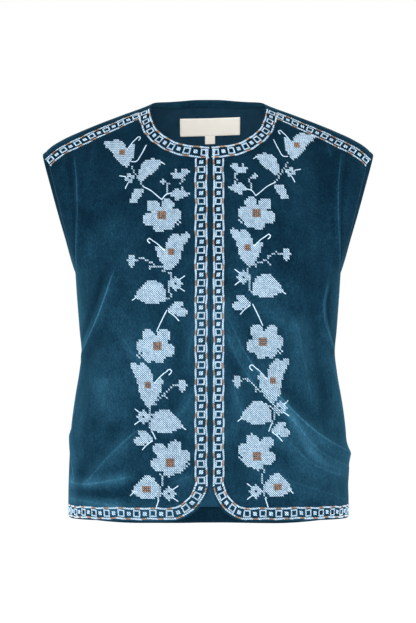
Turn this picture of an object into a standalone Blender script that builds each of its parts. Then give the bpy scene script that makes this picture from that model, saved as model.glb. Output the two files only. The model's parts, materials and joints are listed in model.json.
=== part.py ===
# A boxy velvet waistcoat with grown-on cap shoulders, round neck and rounded front corners,
# filled out as it hangs on a wearer. Metres, +Z up, the front faces -Y.
# The origin is the middle of the neck, at the height of the two neck points.
import math

import bpy
import numpy as np

# Driving sizes
UNDERARM = -0.236  # height of the underarm points
FRONT_HEM = -0.575
SIDE_HEM = -0.577
BACK_HEM = -0.594
VELVET = 0.002  # velvet and lining together
TRIM = 0.001  # facings and labels
SEAM_GAP = 0.0003
FRONT_GAP = 0.002  # between the two front edges
CORNER_RADIUS = 0.056  # the rounded lower front corners
NECK_DEPTH = 0.055  # the front neckline, below its ends at the shoulder seams
NECK_ROUNDNESS = 2.3
NECK_SHARE = 0.291  # where the neck point lies, as a share of the way round to the side seam
NECK_HALF_WIDTH = 0.080
CAP_HALF_WIDTH = 0.232  # middle of the neck to the tip of the cap shoulder
FRONT_SEAM_TURN = {"neck": math.radians(76), "tip": math.radians(68)}
BACK_NECK_TURN = math.radians(67)  # how far up the back the neckline starts, at its middle
SHOULDER_FALL = {"neck": 1.0, "cap": 1.35}  # more makes the shoulder less round, front to back
ARMHOLE_REACH = {"front": 0.056, "back": 0.050}  # how far the armhole bows out from the ridge
ARMHOLE_ROUNDNESS = 0.5  # 0.5 is an oval, more comes to a point under the arm
SQUARENESS = 2.5  # 2 is an ellipse, more is a squarer torso
LEAN = 0.0035  # the front opening hangs this far to the wearer's left

# Rings round the torso
SECTION_COLUMNS = ("height", "half_width", "front_depth", "back_depth")
SECTIONS = (
    (-0.600, 0.1945, 0.138, 0.126),
    (-0.553, 0.1955, 0.137, 0.124),
    (-0.497, 0.1940, 0.135, 0.120),
    (-0.452, 0.1915, 0.132, 0.116),
    (-0.407, 0.1855, 0.129, 0.112),
    (-0.374, 0.1800, 0.127, 0.109),
    (-0.347, 0.1770, 0.126, 0.107),
    (-0.318, 0.1795, 0.128, 0.108),
    (-0.273, 0.1830, 0.132, 0.111),
    (-0.236, 0.1855, 0.135, 0.114),
)
# The top of the shoulders, run on over the neck as if it were closed
RIDGE_COLUMNS = ("out", "height")
RIDGE = (
    (-0.020, 0.025),
    (0.000, 0.0264),
    (0.020, 0.025),
    (0.040, 0.019),
    (0.060, 0.010),
    (0.080, 0.000),
    (0.121, -0.0155),
    (0.150, -0.0265),
    (0.178, -0.038),
    (0.202, -0.049),
    (0.220, -0.060),
    (0.232, -0.071),
)

# Folds of the velvet: soft ridges, or troughs where rise is negative. A place is given as the
# share of the way from the front edge (0) past the side seam (1) to the middle back (2), and
# a height. Side -1 is the wearer's right and 1 the wearer's left.
GIRTH_SCALE = 0.275  # one share, in metres
FOLD_COLUMNS = ("side", "share_a", "height_a", "share_b", "height_b", "half_width", "rise", "sag")
FOLDS = (
    (-1, 0.78, -0.085, 0.88, -0.225, 0.014, 0.0050, 0.000),
    (-1, 0.44, -0.236, 0.78, -0.344, 0.014, 0.0065, 0.004),
    (-1, 0.90, -0.325, 1.05, -0.365, 0.020, -0.0030, 0.000),
    (-1, 0.58, -0.505, 0.78, -0.540, 0.014, 0.0035, 0.000),
    (-1, 0.26, -0.528, 0.70, -0.522, 0.014, 0.0030, 0.004),
    (1, 0.78, -0.085, 0.88, -0.225, 0.014, 0.0050, 0.000),
    (1, 0.58, -0.256, 0.84, -0.350, 0.014, 0.0065, 0.006),
    (1, 0.45, -0.290, 0.56, -0.430, 0.016, 0.0050, 0.000),
    (1, 0.10, -0.305, 0.42, -0.440, 0.014, 0.0060, -0.004),
    (1, 0.36, -0.400, 0.90, -0.484, 0.016, 0.0075, 0.012),
    (1, 0.36, -0.450, 0.88, -0.515, 0.014, 0.0045, 0.010),
    (1, 0.92, -0.310, 1.00, -0.430, 0.030, 0.0025, 0.000),
    (-1, 1.14, -0.250, 1.45, -0.420, 0.018, 0.0060, 0.006),
    (1, 1.14, -0.250, 1.42, -0.430, 0.018, 0.0060, 0.006),
    (-1, 1.30, -0.430, 1.52, -0.575, 0.020, 0.0050, 0.000),
    (1, 1.36, -0.420, 1.60, -0.575, 0.020, 0.0050, 0.000),
    (-1, 1.22, -0.090, 1.10, -0.225, 0.015, 0.0050, 0.000),
    (1, 1.22, -0.090, 1.10, -0.225, 0.015, 0.0050, 0.000),
)

# How finely each wall is cut up
NECK_COLUMNS = 9
SHOULDER_COLUMNS = 18
BACK_NECK_COLUMNS = 7
BACK_SHOULDER_COLUMNS = 12
BODY_ROWS = 24
SHARED_TURN = math.radians(33)  # up to here the rows over the shoulder run level
SHARED_ROWS = 6
FRONT_TOP_ROWS = 9
BACK_TOP_ROWS = 12

# Facings and labels on the inside of the back
NECK_FACING_DEPTH = 0.008
HEM_FACING_DEPTH = 0.021
TRIM_SLACK = 0.0006  # facings and labels stand this far off the cloth, besides the seam gap
LABEL_WIDTH = 0.086
LABEL_HEIGHT = 0.029
LABEL_DROP = 0.028  # below the back neck edge
LABEL_SHIFT = 0.003
LABEL_SLOPE = 0.03  # the labels are sewn on a little lower towards the wearer's right
TAB_WIDTH = 0.014
TAB_HEIGHT = 0.012

VELVET_COLOUR = (0.010, 0.045, 0.075, 1.0)
LINING_COLOUR = (0.008, 0.035, 0.055, 1.0)
LABEL_COLOUR = (0.78, 0.74, 0.66, 1.0)


def columns_of(names, rows):
    """A short table as one array for each named column."""
    return dict(zip(names, np.array(rows, float).T))


def smooth_read(xs, ys, x):
    """Reads a short table as one smooth curve through its rows."""
    slopes = np.gradient(ys, xs)
    x = np.clip(x, xs[0], xs[-1])
    i = np.clip(np.searchsorted(xs, x, side="right") - 1, 0, len(xs) - 2)
    span = xs[i + 1] - xs[i]
    t = (x - xs[i]) / span
    rest = 1 - t
    start = (1 + 2 * t) * rest**2 * ys[i] + t * rest**2 * span * slopes[i]
    return start + t**2 * (3 - 2 * t) * ys[i + 1] - t**2 * rest * span * slopes[i + 1]


def ease(low, high, x):
    """0 below low, 1 above high and a soft step between them."""
    t = np.clip((x - low) / (high - low), 0, 1)
    return t * t * (3 - 2 * t)


def quarter_ring(angle):
    """A quarter of a unit ring, squarer than a circle, from the front (0, 1) to the side (1, 0)."""
    power = 2 / SQUARENESS
    return np.sin(angle) ** power, np.clip(np.cos(angle), 0, 1) ** power


def even_angles():
    """Ring angles for even steps along the cloth, as (shares, angles)."""
    section = columns_of(SECTION_COLUMNS, SECTIONS)
    angles = np.linspace(0, math.pi / 2, 400)
    across, deep = quarter_ring(angles)
    steps = np.hypot(
        np.diff(across) * section["half_width"][-1], np.diff(deep) * section["front_depth"][-1]
    )
    length = np.concatenate([[0], np.cumsum(steps)])
    return length / length[-1], angles


INSIDE = -(VELVET + SEAM_GAP + TRIM_SLACK)  # the lift of pieces that lie inside the back
SECTION = columns_of(SECTION_COLUMNS, SECTIONS)
RIDGE_LINE = columns_of(RIDGE_COLUMNS, RIDGE)
RING_SHARES, RING_ANGLES = even_angles()


def ridge_out(share):
    """How far out a column of cloth crosses the top of the shoulder."""
    inner = NECK_HALF_WIDTH * share / NECK_SHARE
    past = (share - NECK_SHARE) / (1 - NECK_SHARE)
    outer = NECK_HALF_WIDTH + (CAP_HALF_WIDTH - NECK_HALF_WIDTH) * past
    return np.where(share < NECK_SHARE, inner, outer)


def ridge_height(share):
    return smooth_read(RIDGE_LINE["out"], RIDGE_LINE["height"], ridge_out(share))


def surface(back, share, climb):
    """Points on the smooth form of one half, before folds. Climb is metres above the underarm
    level while negative, and past it the angle turned over the shoulder: a quarter turn is the
    top of the shoulder, and beyond that the cloth comes down on the other side."""
    turn = np.maximum(climb, 0)
    level = UNDERARM + np.minimum(climb, 0)
    width = smooth_read(SECTION["height"], SECTION["half_width"], level)
    front_depth = smooth_read(SECTION["height"], SECTION["front_depth"], level)
    back_depth = smooth_read(SECTION["height"], SECTION["back_depth"], level)
    across, deep = quarter_ring(np.interp(share, RING_SHARES, RING_ANGLES))

    rise = np.sin(turn)
    sideways = ease(0.80, 1.0, share)
    blend = rise**2 * (1 - sideways) + rise * sideways
    x = across * width + (ridge_out(share) - across * width) * blend
    z = level + (ridge_height(share) - UNDERARM) * rise

    level_with_ridge = np.cos(turn)
    at_front = (level_with_ridge < 0) if back else (level_with_ridge >= 0)
    sign = np.where(at_front, -1.0, 1.0)
    depth = np.where(at_front, front_depth, back_depth)
    reach = np.where(at_front, ARMHOLE_REACH["front"], ARMHOLE_REACH["back"])
    bow = (4 * rise * (1 - rise)).clip(0, 1) ** ARMHOLE_ROUNDNESS * ease(0.55, 1.0, share)
    fall = SHOULDER_FALL["neck"] + (SHOULDER_FALL["cap"] - SHOULDER_FALL["neck"]) * ease(0, 0.5, share)
    y = sign * (depth * deep * np.abs(level_with_ridge) ** fall + reach * bow)
    return np.stack([x, y, z], axis=-1)


def outward(back, share, climb):
    """The direction away from the wearer at each point of the smooth form."""
    step = 1e-3
    low, high = np.maximum(share - step, 0), np.minimum(share + step, 1)
    around = surface(back, high, climb) - surface(back, low, climb)
    upward = surface(back, share, climb + step) - surface(back, share, climb - step)
    normal = np.cross(around, upward)
    normal /= np.linalg.norm(normal, axis=-1, keepdims=True)
    return -normal if back else normal


def fold_rise(side, place, height):
    """How far the folds push the cloth out at a place on the girth and a height."""
    total = np.zeros(np.broadcast(place, height).shape)
    for row in FOLDS:
        fold = dict(zip(FOLD_COLUMNS, row))
        if fold["side"] != side:
            continue
        a = np.array([fold["share_a"] * GIRTH_SCALE, fold["height_a"]])
        b = np.array([fold["share_b"] * GIRTH_SCALE, fold["height_b"]])
        length = np.linalg.norm(b - a)
        along = (b - a) / length
        dx, dz = place * GIRTH_SCALE - a[0], height - a[1]
        t = (dx * along[0] + dz * along[1]) / length
        off = dz * along[0] - dx * along[1] + fold["sag"] * 4 * t * (1 - t)
        off = off / fold["half_width"]
        fade = ease(-0.15, 0.2, t) * (1 - ease(0.8, 1.15, t))
        ridge = np.exp(-(off**2)) - 0.3 * np.exp(-((np.abs(off) - 2) ** 2))
        total += fold["rise"] * ridge * fade
    return total


def soft_waves(side, place, height):
    """The gentle waves in which the cloth below the arms hangs, growing towards the hem."""
    hang = ((UNDERARM - height) / (UNDERARM - FRONT_HEM)).clip(0, 1.2)
    front = 0.0015 * np.sin(7.0 * place + 0.8 * side)
    back = 0.004 * np.sin(9.5 * place + 0.6 * side) * ease(0.9, 1.3, place)
    return hang * ease(0, 0.12, place) * (front + back) * (1 - ease(1.85, 2.0, place))


def cloth(side, back, share, climb, lift=0.0):
    """Points on the outside of the cloth with its folds, moved out by lift."""
    base = surface(back, share, climb)
    normal = outward(back, share, climb)
    place = 2 - share if back else share
    to_seam = (math.pi - seam_turn(share) if back else seam_turn(share)) - climb
    folds = fold_rise(side, place, base[..., 2]) + soft_waves(side, place, base[..., 2])
    push = folds * ease(0.0, 0.35, to_seam) + lift
    points = base + normal * push[..., None]
    points[..., 0] *= side
    if not back:
        points[..., 0] += LEAN * (1 - share / NECK_SHARE).clip(0, 1) ** 2
    return points


def seam_turn(share):
    """Where the shoulder seam lies, as the angle turned over the shoulder from the front."""
    past = ((share - NECK_SHARE) / (1 - NECK_SHARE)).clip(0, 1)
    return FRONT_SEAM_TURN["neck"] + (FRONT_SEAM_TURN["tip"] - FRONT_SEAM_TURN["neck"]) * past


def neck_round(share):
    """1 at the middle of the neckline, falling to 0 at its ends, along a rounded outline."""
    u = (share / NECK_SHARE).clip(0, 1)
    return (1 - u**NECK_ROUNDNESS) ** (1 / NECK_ROUNDNESS)


def front_top(share):
    """How far up a column of the front is cut: at the neckline, or at the shoulder seam."""
    seam = seam_turn(share)
    tall = ridge_height(share) - UNDERARM
    end_tall = ridge_height(np.array(NECK_SHARE)) - UNDERARM
    end_height = math.sin(FRONT_SEAM_TURN["neck"]) * end_tall
    neck = np.arcsin(((end_height - NECK_DEPTH * neck_round(share)) / tall).clip(0, 1))
    return np.where(share < NECK_SHARE, np.minimum(neck, seam), seam)


def back_top(share):
    """The same for the back, as the angle turned up from the back. It passes over the shoulder."""
    over = math.pi - seam_turn(share)
    return over + (BACK_NECK_TURN - over) * neck_round(share)


def front_bottom(share):
    """The hem of a front, rounded at its corner, below the underarm level."""
    in_corner = (CORNER_RADIUS - share * GIRTH_SCALE).clip(0, CORNER_RADIUS)
    lifted = CORNER_RADIUS - np.sqrt(CORNER_RADIUS**2 - in_corner**2)
    return FRONT_HEM + (SIDE_HEM - FRONT_HEM) * ease(0.3, 1.0, share) + lifted - UNDERARM


def back_bottom(share):
    """The hem of the back, which dips between the side seams."""
    return BACK_HEM + (SIDE_HEM - BACK_HEM) * ease(0.35, 1.0, share) - UNDERARM


def grid(side, back, shares, bottom, top, top_rows, lift=0.0):
    """A sheet of points, one column for each share: rows up the body, level rows above the
    underarm, and rows that spread out to the neckline and the shoulder seam."""
    climbs = [bottom * (1 - k / BODY_ROWS) for k in range(BODY_ROWS)]
    climbs += [np.full(shares.shape, SHARED_TURN * k / SHARED_ROWS) for k in range(SHARED_ROWS)]
    climbs += [SHARED_TURN + (top - SHARED_TURN) * k / top_rows for k in range(top_rows + 1)]
    return np.array([cloth(side, back, shares, climb, lift) for climb in climbs])


def material(name, colour, roughness):
    made = bpy.data.materials.new(name)
    made.use_nodes = True
    shader = made.node_tree.nodes["Principled BSDF"]
    shader.inputs["Base Color"].default_value = colour
    shader.inputs["Roughness"].default_value = roughness
    shader.inputs["Metallic"].default_value = 0.0
    return made


def wall(name, sheet_at, lift, thickness, finish, turned=False):
    """Sews a sheet of points into a closed wall: its outer face, its inner face and its edges.
    sheet_at gives the points of the sheet at a lift."""
    outer, inner = sheet_at(lift), sheet_at(lift - thickness)
    rows, across = outer.shape[:2]
    count = rows * across
    places = outer.reshape(-1, 3)
    faces = []
    for i in range(rows - 1):
        for j in range(across - 1):
            a = i * across + j
            b, c, d = a + 1, a + 1 + across, a + across
            if np.linalg.norm(places[c] - places[a]) < np.linalg.norm(places[d] - places[b]):
                halves = (a, b, c), (a, c, d)
            else:
                halves = (a, b, d), (b, c, d)
            for half in halves:
                faces.append(half)
                faces.append(tuple(corner + count for corner in half[::-1]))
    rim = [j for j in range(across)]
    rim += [i * across + across - 1 for i in range(1, rows)]
    rim += [(rows - 1) * across + j for j in range(across - 2, -1, -1)]
    rim += [i * across for i in range(rows - 2, 0, -1)]
    for a, b in zip(rim, rim[1:] + rim[:1]):
        faces.append((b, a, a + count, b + count))
    if turned:
        faces = [face[::-1] for face in faces]
    mesh = bpy.data.meshes.new(name)
    mesh.from_pydata(np.concatenate([outer, inner]).reshape(-1, 3).tolist(), [], faces)
    mesh.materials.append(finish)
    made = bpy.data.objects.new(name, mesh)
    bpy.data.collections["waistcoat"].objects.link(made)
    return made


def front_shares():
    """Columns of a front, closer together at the front edge and at the neck point."""
    start = FRONT_GAP / 2 / GIRTH_SCALE
    neck = NECK_SHARE * (1 - np.cos(np.pi * np.arange(NECK_COLUMNS + 1) / NECK_COLUMNS)) / 2
    neck[0] = start
    end = 1 - SEAM_GAP / 2 / GIRTH_SCALE
    shoulder = np.linspace(NECK_SHARE, end, SHOULDER_COLUMNS + 1)[1:]
    return np.concatenate([neck, shoulder])


def back_shares():
    """Columns of one half of the back, from the side seam to the middle."""
    neck = NECK_SHARE * np.sin(np.pi / 2 * np.arange(BACK_NECK_COLUMNS + 1) / BACK_NECK_COLUMNS)
    end = 1 - SEAM_GAP / 2 / GIRTH_SCALE
    shoulder = np.linspace(NECK_SHARE, end, BACK_SHOULDER_COLUMNS + 1)[1:]
    return np.concatenate([neck, shoulder])[::-1]


def seam_margin(share):
    """Half the seam gap at the shoulder seam, as an angle turned over the shoulder."""
    step = 1e-3
    seam = seam_turn(share)
    moved = surface(False, share, seam + step) - surface(False, share, seam - step)
    return SEAM_GAP / 2 / (np.linalg.norm(moved, axis=-1) / (2 * step))


def make_front(name, side, finish):
    shares = front_shares()
    bottom = front_bottom(shares)
    top = front_top(shares) - seam_margin(shares)

    def sheet_at(lift):
        return grid(side, False, shares, bottom, top, FRONT_TOP_ROWS, lift)

    wall(name, sheet_at, 0.0, VELVET, finish, turned=side < 0)


def both_halves(shares, half):
    """Joins the wearer's left half of the back to the right half, mirrored in its columns."""
    left = half(1, shares)
    right = half(-1, shares[::-1])
    return np.concatenate([left, right[:, 1:]], axis=1)


def make_back(finish):
    def sheet_at(lift):
        def half(side, shares):
            top = back_top(shares) - seam_margin(shares)
            return grid(side, True, shares, back_bottom(shares), top, BACK_TOP_ROWS, lift)

        return both_halves(back_shares(), half)

    wall("back", sheet_at, 0.0, VELVET, finish)


def make_neck_facing(finish):
    """A narrow edge turned to the inside along the back neckline."""
    shares = back_shares()
    shares = shares[shares < NECK_SHARE * 0.97]

    def sheet_at(lift):
        def half(side, shares):
            top = back_top(shares) - 2 * seam_margin(shares)
            tall = ridge_height(shares) - UNDERARM
            drop = NECK_FACING_DEPTH / tall / np.cos(top).clip(0.35, 1)
            return np.array([cloth(side, True, shares, top - drop * (1 - k / 2), lift) for k in range(3)])

        return both_halves(shares, half)

    wall("back_neck_facing", sheet_at, INSIDE, TRIM, finish)


def make_hem_facing(finish):
    """The turned-up hem, seen inside the back between the fronts."""

    def sheet_at(lift):
        def half(side, shares):
            low = back_bottom(shares) + SEAM_GAP
            return np.array([cloth(side, True, shares, low + HEM_FACING_DEPTH * k / 2, lift) for k in range(3)])

        return both_halves(back_shares(), half)

    wall("back_hem_facing", sheet_at, INSIDE, TRIM, finish)


def back_height(drop):
    """The height of a point that lies this far below the neckline, along the middle back."""
    line = surface(True, np.zeros(200), np.linspace(0, BACK_NECK_TURN, 200))
    below = np.cumsum(np.linalg.norm(np.diff(line, axis=0), axis=1)[::-1])[::-1]
    return np.interp(drop, below[::-1], line[:-1, 2][::-1])


def patch(name, width, top_drop, height, finish):
    """A label sewn flat on the inside of the back."""
    steps_across, steps_down = 12, 4

    def sheet_at(lift):
        rows = []
        for k in range(steps_down + 1):
            row = []
            for j in range(steps_across + 1):
                across = width * (0.5 - j / steps_across)
                out = LABEL_SHIFT + across
                drop = top_drop + height * (1 - k / steps_down) - LABEL_SLOPE * across
                share = np.array(abs(out) / GIRTH_SCALE)
                climb = np.arcsin((back_height(drop) - UNDERARM) / (ridge_height(share) - UNDERARM))
                row.append(cloth(1 if out >= 0 else -1, True, share, climb, lift))
            rows.append(row)
        return np.array(rows)

    wall(name, sheet_at, INSIDE, TRIM, finish)


def make_labels(finish):
    patch("neck_label", LABEL_WIDTH, LABEL_DROP, LABEL_HEIGHT, finish)
    patch("size_label", TAB_WIDTH, LABEL_DROP + LABEL_HEIGHT + 2 * SEAM_GAP, TAB_HEIGHT, finish)


def main():
    for old in list(bpy.data.objects):
        bpy.data.objects.remove(old)
    bpy.context.scene.collection.children.link(bpy.data.collections.new("waistcoat"))
    velvet = material("velvet", VELVET_COLOUR, 0.85)
    lining = material("lining", LINING_COLOUR, 0.7)
    label = material("label", LABEL_COLOUR, 0.8)
    make_front("front_right", -1, velvet)
    make_front("front_left", 1, velvet)
    make_back(velvet)
    make_neck_facing(lining)
    make_hem_facing(lining)
    make_labels(label)


main()
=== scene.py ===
# %% [markdown]
# # A cross-stitched velvet waistcoat
# Two fronts and a back in teal cotton velvet, filled out as if worn, with a border and climbing
# flowers in light blue and copper cross-stitch. The cloth is one rule, a surface that wraps the
# body and turns over the shoulders, so every panel, seam, fold and stitch can be asked for by its
# place on that surface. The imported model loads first, and each piece made here takes the place of
# one of its plain solids.

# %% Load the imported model
import json
import math

import bpy
import numpy as np
from mathutils import Matrix

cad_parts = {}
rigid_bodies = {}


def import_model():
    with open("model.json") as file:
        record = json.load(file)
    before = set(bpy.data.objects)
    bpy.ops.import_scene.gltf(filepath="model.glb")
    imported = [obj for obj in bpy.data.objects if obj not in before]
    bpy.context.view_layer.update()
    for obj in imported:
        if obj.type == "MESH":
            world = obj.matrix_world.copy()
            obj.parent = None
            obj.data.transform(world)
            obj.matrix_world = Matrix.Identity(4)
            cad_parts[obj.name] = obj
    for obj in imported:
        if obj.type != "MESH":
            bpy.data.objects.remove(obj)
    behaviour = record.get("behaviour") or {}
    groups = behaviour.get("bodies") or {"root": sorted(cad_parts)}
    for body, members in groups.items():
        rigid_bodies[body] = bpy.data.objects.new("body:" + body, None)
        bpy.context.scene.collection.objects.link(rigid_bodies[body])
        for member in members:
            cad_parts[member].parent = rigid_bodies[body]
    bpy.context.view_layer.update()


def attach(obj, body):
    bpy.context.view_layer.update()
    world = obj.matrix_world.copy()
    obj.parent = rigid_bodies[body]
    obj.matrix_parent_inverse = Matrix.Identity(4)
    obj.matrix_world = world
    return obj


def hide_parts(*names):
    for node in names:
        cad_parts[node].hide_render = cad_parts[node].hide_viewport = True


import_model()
bpy.context.scene.view_settings.view_transform = "Standard"

# %% [markdown]
# ## The cut
# A boxy waistcoat is cut from few numbers: its length, its width at some heights, the slope of its
# shoulders, the round of its neck and of its lower front corners. They are kept together here, in
# metres, with +Z up and the front facing -Y. The middle of the neck is the origin.

# %% Sizes of the cut
UNDERARM = -0.236  # height of the underarm points
FRONT_HEM = -0.575
SIDE_HEM = -0.577
BACK_HEM = -0.594
CLOTH = 0.002  # velvet and lining together
FRONT_GAP = 0.0002  # between the two front edges, which meet
CORNER_RADIUS = 0.056  # the rounded lower front corners
NECK_DEPTH = 0.0565
NECK_ROUNDNESS = 2.3
NECK_SHARE = 0.291  # where the neck point lies, as a share of the way round to the side seam
NECK_HALF_WIDTH = 0.080
CAP_HALF_WIDTH = 0.232  # middle of the neck to the tip of the cap shoulder
FRONT_SEAM_TURN = {"neck": math.radians(78), "tip": math.radians(70)}
BACK_NECK_TURN = math.radians(69)
SHOULDER_FALL = {"neck": 1.0, "cap": 1.35}  # more makes the shoulder less round, front to back
ARMHOLE_REACH = {"front": 0.056, "back": 0.050}  # how far the armhole bows out from the ridge
SQUARENESS = 2.5  # 2 is an ellipse, more is a squarer torso
LEAN = 0.0035  # the front opening hangs this far to the wearer's left
GIRTH_SCALE = 0.275  # front edge to side seam on the cloth

SECTION_COLUMNS = ("height", "half_width", "front_depth", "back_depth")
SECTIONS = (
    (-0.600, 0.1945, 0.138, 0.126),
    (-0.553, 0.1955, 0.137, 0.124),
    (-0.497, 0.1940, 0.135, 0.120),
    (-0.452, 0.1915, 0.132, 0.116),
    (-0.407, 0.1855, 0.129, 0.112),
    (-0.374, 0.1800, 0.127, 0.109),
    (-0.347, 0.1770, 0.126, 0.107),
    (-0.318, 0.1795, 0.128, 0.108),
    (-0.273, 0.1830, 0.132, 0.111),
    (-0.236, 0.1855, 0.135, 0.114),
)
RIDGE_COLUMNS = ("out", "height")  # the top of the shoulders, run on over the open neck
RIDGE = (
    (-0.020, 0.0250),
    (0.000, 0.0264),
    (0.020, 0.0250),
    (0.040, 0.0190),
    (0.060, 0.0100),
    (0.080, 0.0000),
    (0.121, -0.0155),
    (0.150, -0.0265),
    (0.178, -0.038),
    (0.202, -0.049),
    (0.220, -0.060),
    (0.232, -0.071),
)

# %% [markdown]
# ## Reading a short table as a smooth curve
# A cloth has no corners between the sizes that a pattern gives, so the tables above are read with a
# curve that passes through each row and keeps one slope on both sides of it. Soft steps, which
# start and stop without a kink, let one rule fade into another.


# %% Curves and soft steps
def columns_of(names, rows):
    """A short table as one array for each named column."""
    return dict(zip(names, np.array(rows, float).T))


def smooth_read(xs, ys, x):
    """Reads a short table as one smooth curve through its rows."""
    slopes = np.gradient(ys, xs)
    x = np.clip(x, xs[0], xs[-1])
    i = np.clip(np.searchsorted(xs, x, side="right") - 1, 0, len(xs) - 2)
    span = xs[i + 1] - xs[i]
    t = (x - xs[i]) / span
    rest = 1 - t
    start = (1 + 2 * t) * rest**2 * ys[i] + t * rest**2 * span * slopes[i]
    return start + t**2 * (3 - 2 * t) * ys[i + 1] - t**2 * rest * span * slopes[i + 1]


def ease(low, high, x):
    """0 below low, 1 above high and a soft step between them."""
    t = np.clip((x - low) / (high - low), 0, 1)
    return t * t * (3 - 2 * t)


def length_along(points):
    """How far along a line each of its points lies."""
    return np.concatenate([[0], np.cumsum(np.linalg.norm(np.diff(points, axis=0), axis=1))])


SECTION = columns_of(SECTION_COLUMNS, SECTIONS)
RIDGE_LINE = columns_of(RIDGE_COLUMNS, RIDGE)
print("sections round the body:", len(SECTIONS), "and points on the shoulder line:", len(RIDGE))

# %% [markdown]
# ## The surface that the cloth follows
# A place on the cloth is a share, from the front edge at 0 to the side seam at 1, and a climb. Up to
# the underarm the climb is metres and the cloth is a rounded box of rings. Above it the climb is the
# angle that the cloth has turned over the shoulder, so front and back are one surface that meets on
# top. The armholes are where that surface bows away from its edge.


# %% The form of one half, before folds
def quarter_ring(angle):
    """A quarter of a unit ring, squarer than a circle, from the front (0, 1) to the side (1, 0)."""
    power = 2 / SQUARENESS
    return np.sin(angle) ** power, np.clip(np.cos(angle), 0, 1) ** power


def even_angles():
    """Ring angles for even steps along the cloth, as (shares, angles)."""
    angles = np.linspace(0, math.pi / 2, 400)
    across, deep = quarter_ring(angles)
    steps = np.hypot(
        np.diff(across) * SECTION["half_width"][-1], np.diff(deep) * SECTION["front_depth"][-1]
    )
    length = np.concatenate([[0], np.cumsum(steps)])
    return length / length[-1], angles


RING_SHARES, RING_ANGLES = even_angles()
SIDE_START = 0.80  # from this share outwards the cloth moves to the shoulder as evenly as it rises
BOW_START = 0.55  # and from this one the armhole's bow fades in


def ridge_out(share):
    """How far out a column of cloth crosses the top of the shoulder."""
    past = (share - NECK_SHARE) / (1 - NECK_SHARE)
    outer = NECK_HALF_WIDTH + (CAP_HALF_WIDTH - NECK_HALF_WIDTH) * past
    return np.where(share < NECK_SHARE, NECK_HALF_WIDTH * share / NECK_SHARE, outer)


def ridge_height(share):
    """How high it crosses there."""
    return smooth_read(RIDGE_LINE["out"], RIDGE_LINE["height"], ridge_out(share))


def surface(back, share, climb):
    """Points on the smooth form of one half. A quarter turn is the top of the shoulder, and past
    that the cloth comes down on the other side."""
    turn = np.maximum(climb, 0)
    level = UNDERARM + np.minimum(climb, 0)
    width = smooth_read(SECTION["height"], SECTION["half_width"], level)
    front_depth = smooth_read(SECTION["height"], SECTION["front_depth"], level)
    back_depth = smooth_read(SECTION["height"], SECTION["back_depth"], level)
    across, deep = quarter_ring(np.interp(share, RING_SHARES, RING_ANGLES))

    rise = np.sin(turn)
    sideways = ease(SIDE_START, 1.0, share)
    blend = rise**2 * (1 - sideways) + rise * sideways
    x = across * width + (ridge_out(share) - across * width) * blend
    z = level + (ridge_height(share) - UNDERARM) * rise

    level_with_ridge = np.cos(turn)
    at_front = (level_with_ridge < 0) if back else (level_with_ridge >= 0)
    sign = np.where(at_front, -1.0, 1.0)
    depth = np.where(at_front, front_depth, back_depth)
    reach = np.where(at_front, ARMHOLE_REACH["front"], ARMHOLE_REACH["back"])
    bow = (4 * rise * (1 - rise)).clip(0, 1) ** 0.5 * ease(BOW_START, 1.0, share)
    fall = SHOULDER_FALL["neck"] + (SHOULDER_FALL["cap"] - SHOULDER_FALL["neck"]) * ease(0, 0.5, share)
    y = sign * (depth * deep * np.abs(level_with_ridge) ** fall + reach * bow)
    return np.stack([x, y, z], axis=-1)


def unit(vectors):
    """The same directions with a length of 1."""
    return vectors / np.linalg.norm(vectors, axis=-1, keepdims=True).clip(1e-12)


def outward(back, share, climb):
    """The direction away from the wearer at each point of the smooth form."""
    step = 1e-3
    low, high = np.maximum(share - step, 0), np.minimum(share + step, 1)
    around = surface(back, high, climb) - surface(back, low, climb)
    upward = surface(back, share, climb + step) - surface(back, share, climb - step)
    return unit(np.cross(around, upward)) * (-1 if back else 1)


print("neck point at", surface(False, np.array(NECK_SHARE), np.array(math.pi / 2)).round(4))

# %% [markdown]
# ## Where the panels end
# The front is cut at its neckline, shoulder seam, front edge, rounded corner and hem, and the back
# at its own neckline and a hem that dips in the middle. The shoulder seam lies a little forward of
# the top, so the back's velvet rolls over the shoulder and shows above the seam from the front.


# %% Necklines, shoulder seams and hems
def seam_turn(share):
    """Where the shoulder seam lies, as the angle turned over the shoulder from the front."""
    past = ((share - NECK_SHARE) / (1 - NECK_SHARE)).clip(0, 1)
    return FRONT_SEAM_TURN["neck"] + (FRONT_SEAM_TURN["tip"] - FRONT_SEAM_TURN["neck"]) * past


def neck_round(share):
    """1 at the middle of the neckline, falling to 0 at its ends, along a rounded outline."""
    u = (share / NECK_SHARE).clip(0, 1)
    return (1 - u**NECK_ROUNDNESS) ** (1 / NECK_ROUNDNESS)


def front_top(share):
    """How far up a column of the front is cut: at the neckline, or at the shoulder seam."""
    seam = seam_turn(share)
    tall = ridge_height(share) - UNDERARM
    end_tall = ridge_height(np.array(NECK_SHARE)) - UNDERARM
    end_height = math.sin(FRONT_SEAM_TURN["neck"]) * end_tall
    neck = np.arcsin(((end_height - NECK_DEPTH * neck_round(share)) / tall).clip(0, 1))
    return np.where(share < NECK_SHARE, np.minimum(neck, seam), seam)


def back_top(share):
    """The same for the back, as the angle turned up from the back. It passes over the shoulder."""
    over = math.pi - seam_turn(share)
    return over + (BACK_NECK_TURN - over) * neck_round(share)


def front_bottom(share):
    """The hem of a front, rounded at its corner, below the underarm level."""
    in_corner = (CORNER_RADIUS - share * GIRTH_SCALE).clip(0, CORNER_RADIUS)
    lifted = CORNER_RADIUS - np.sqrt(CORNER_RADIUS**2 - in_corner**2)
    return FRONT_HEM + (SIDE_HEM - FRONT_HEM) * ease(0.3, 1.0, share) + lifted - UNDERARM


def back_bottom(share):
    """The hem of the back, which dips between the side seams."""
    return BACK_HEM + (SIDE_HEM - BACK_HEM) * ease(0.35, 1.0, share) - UNDERARM


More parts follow.
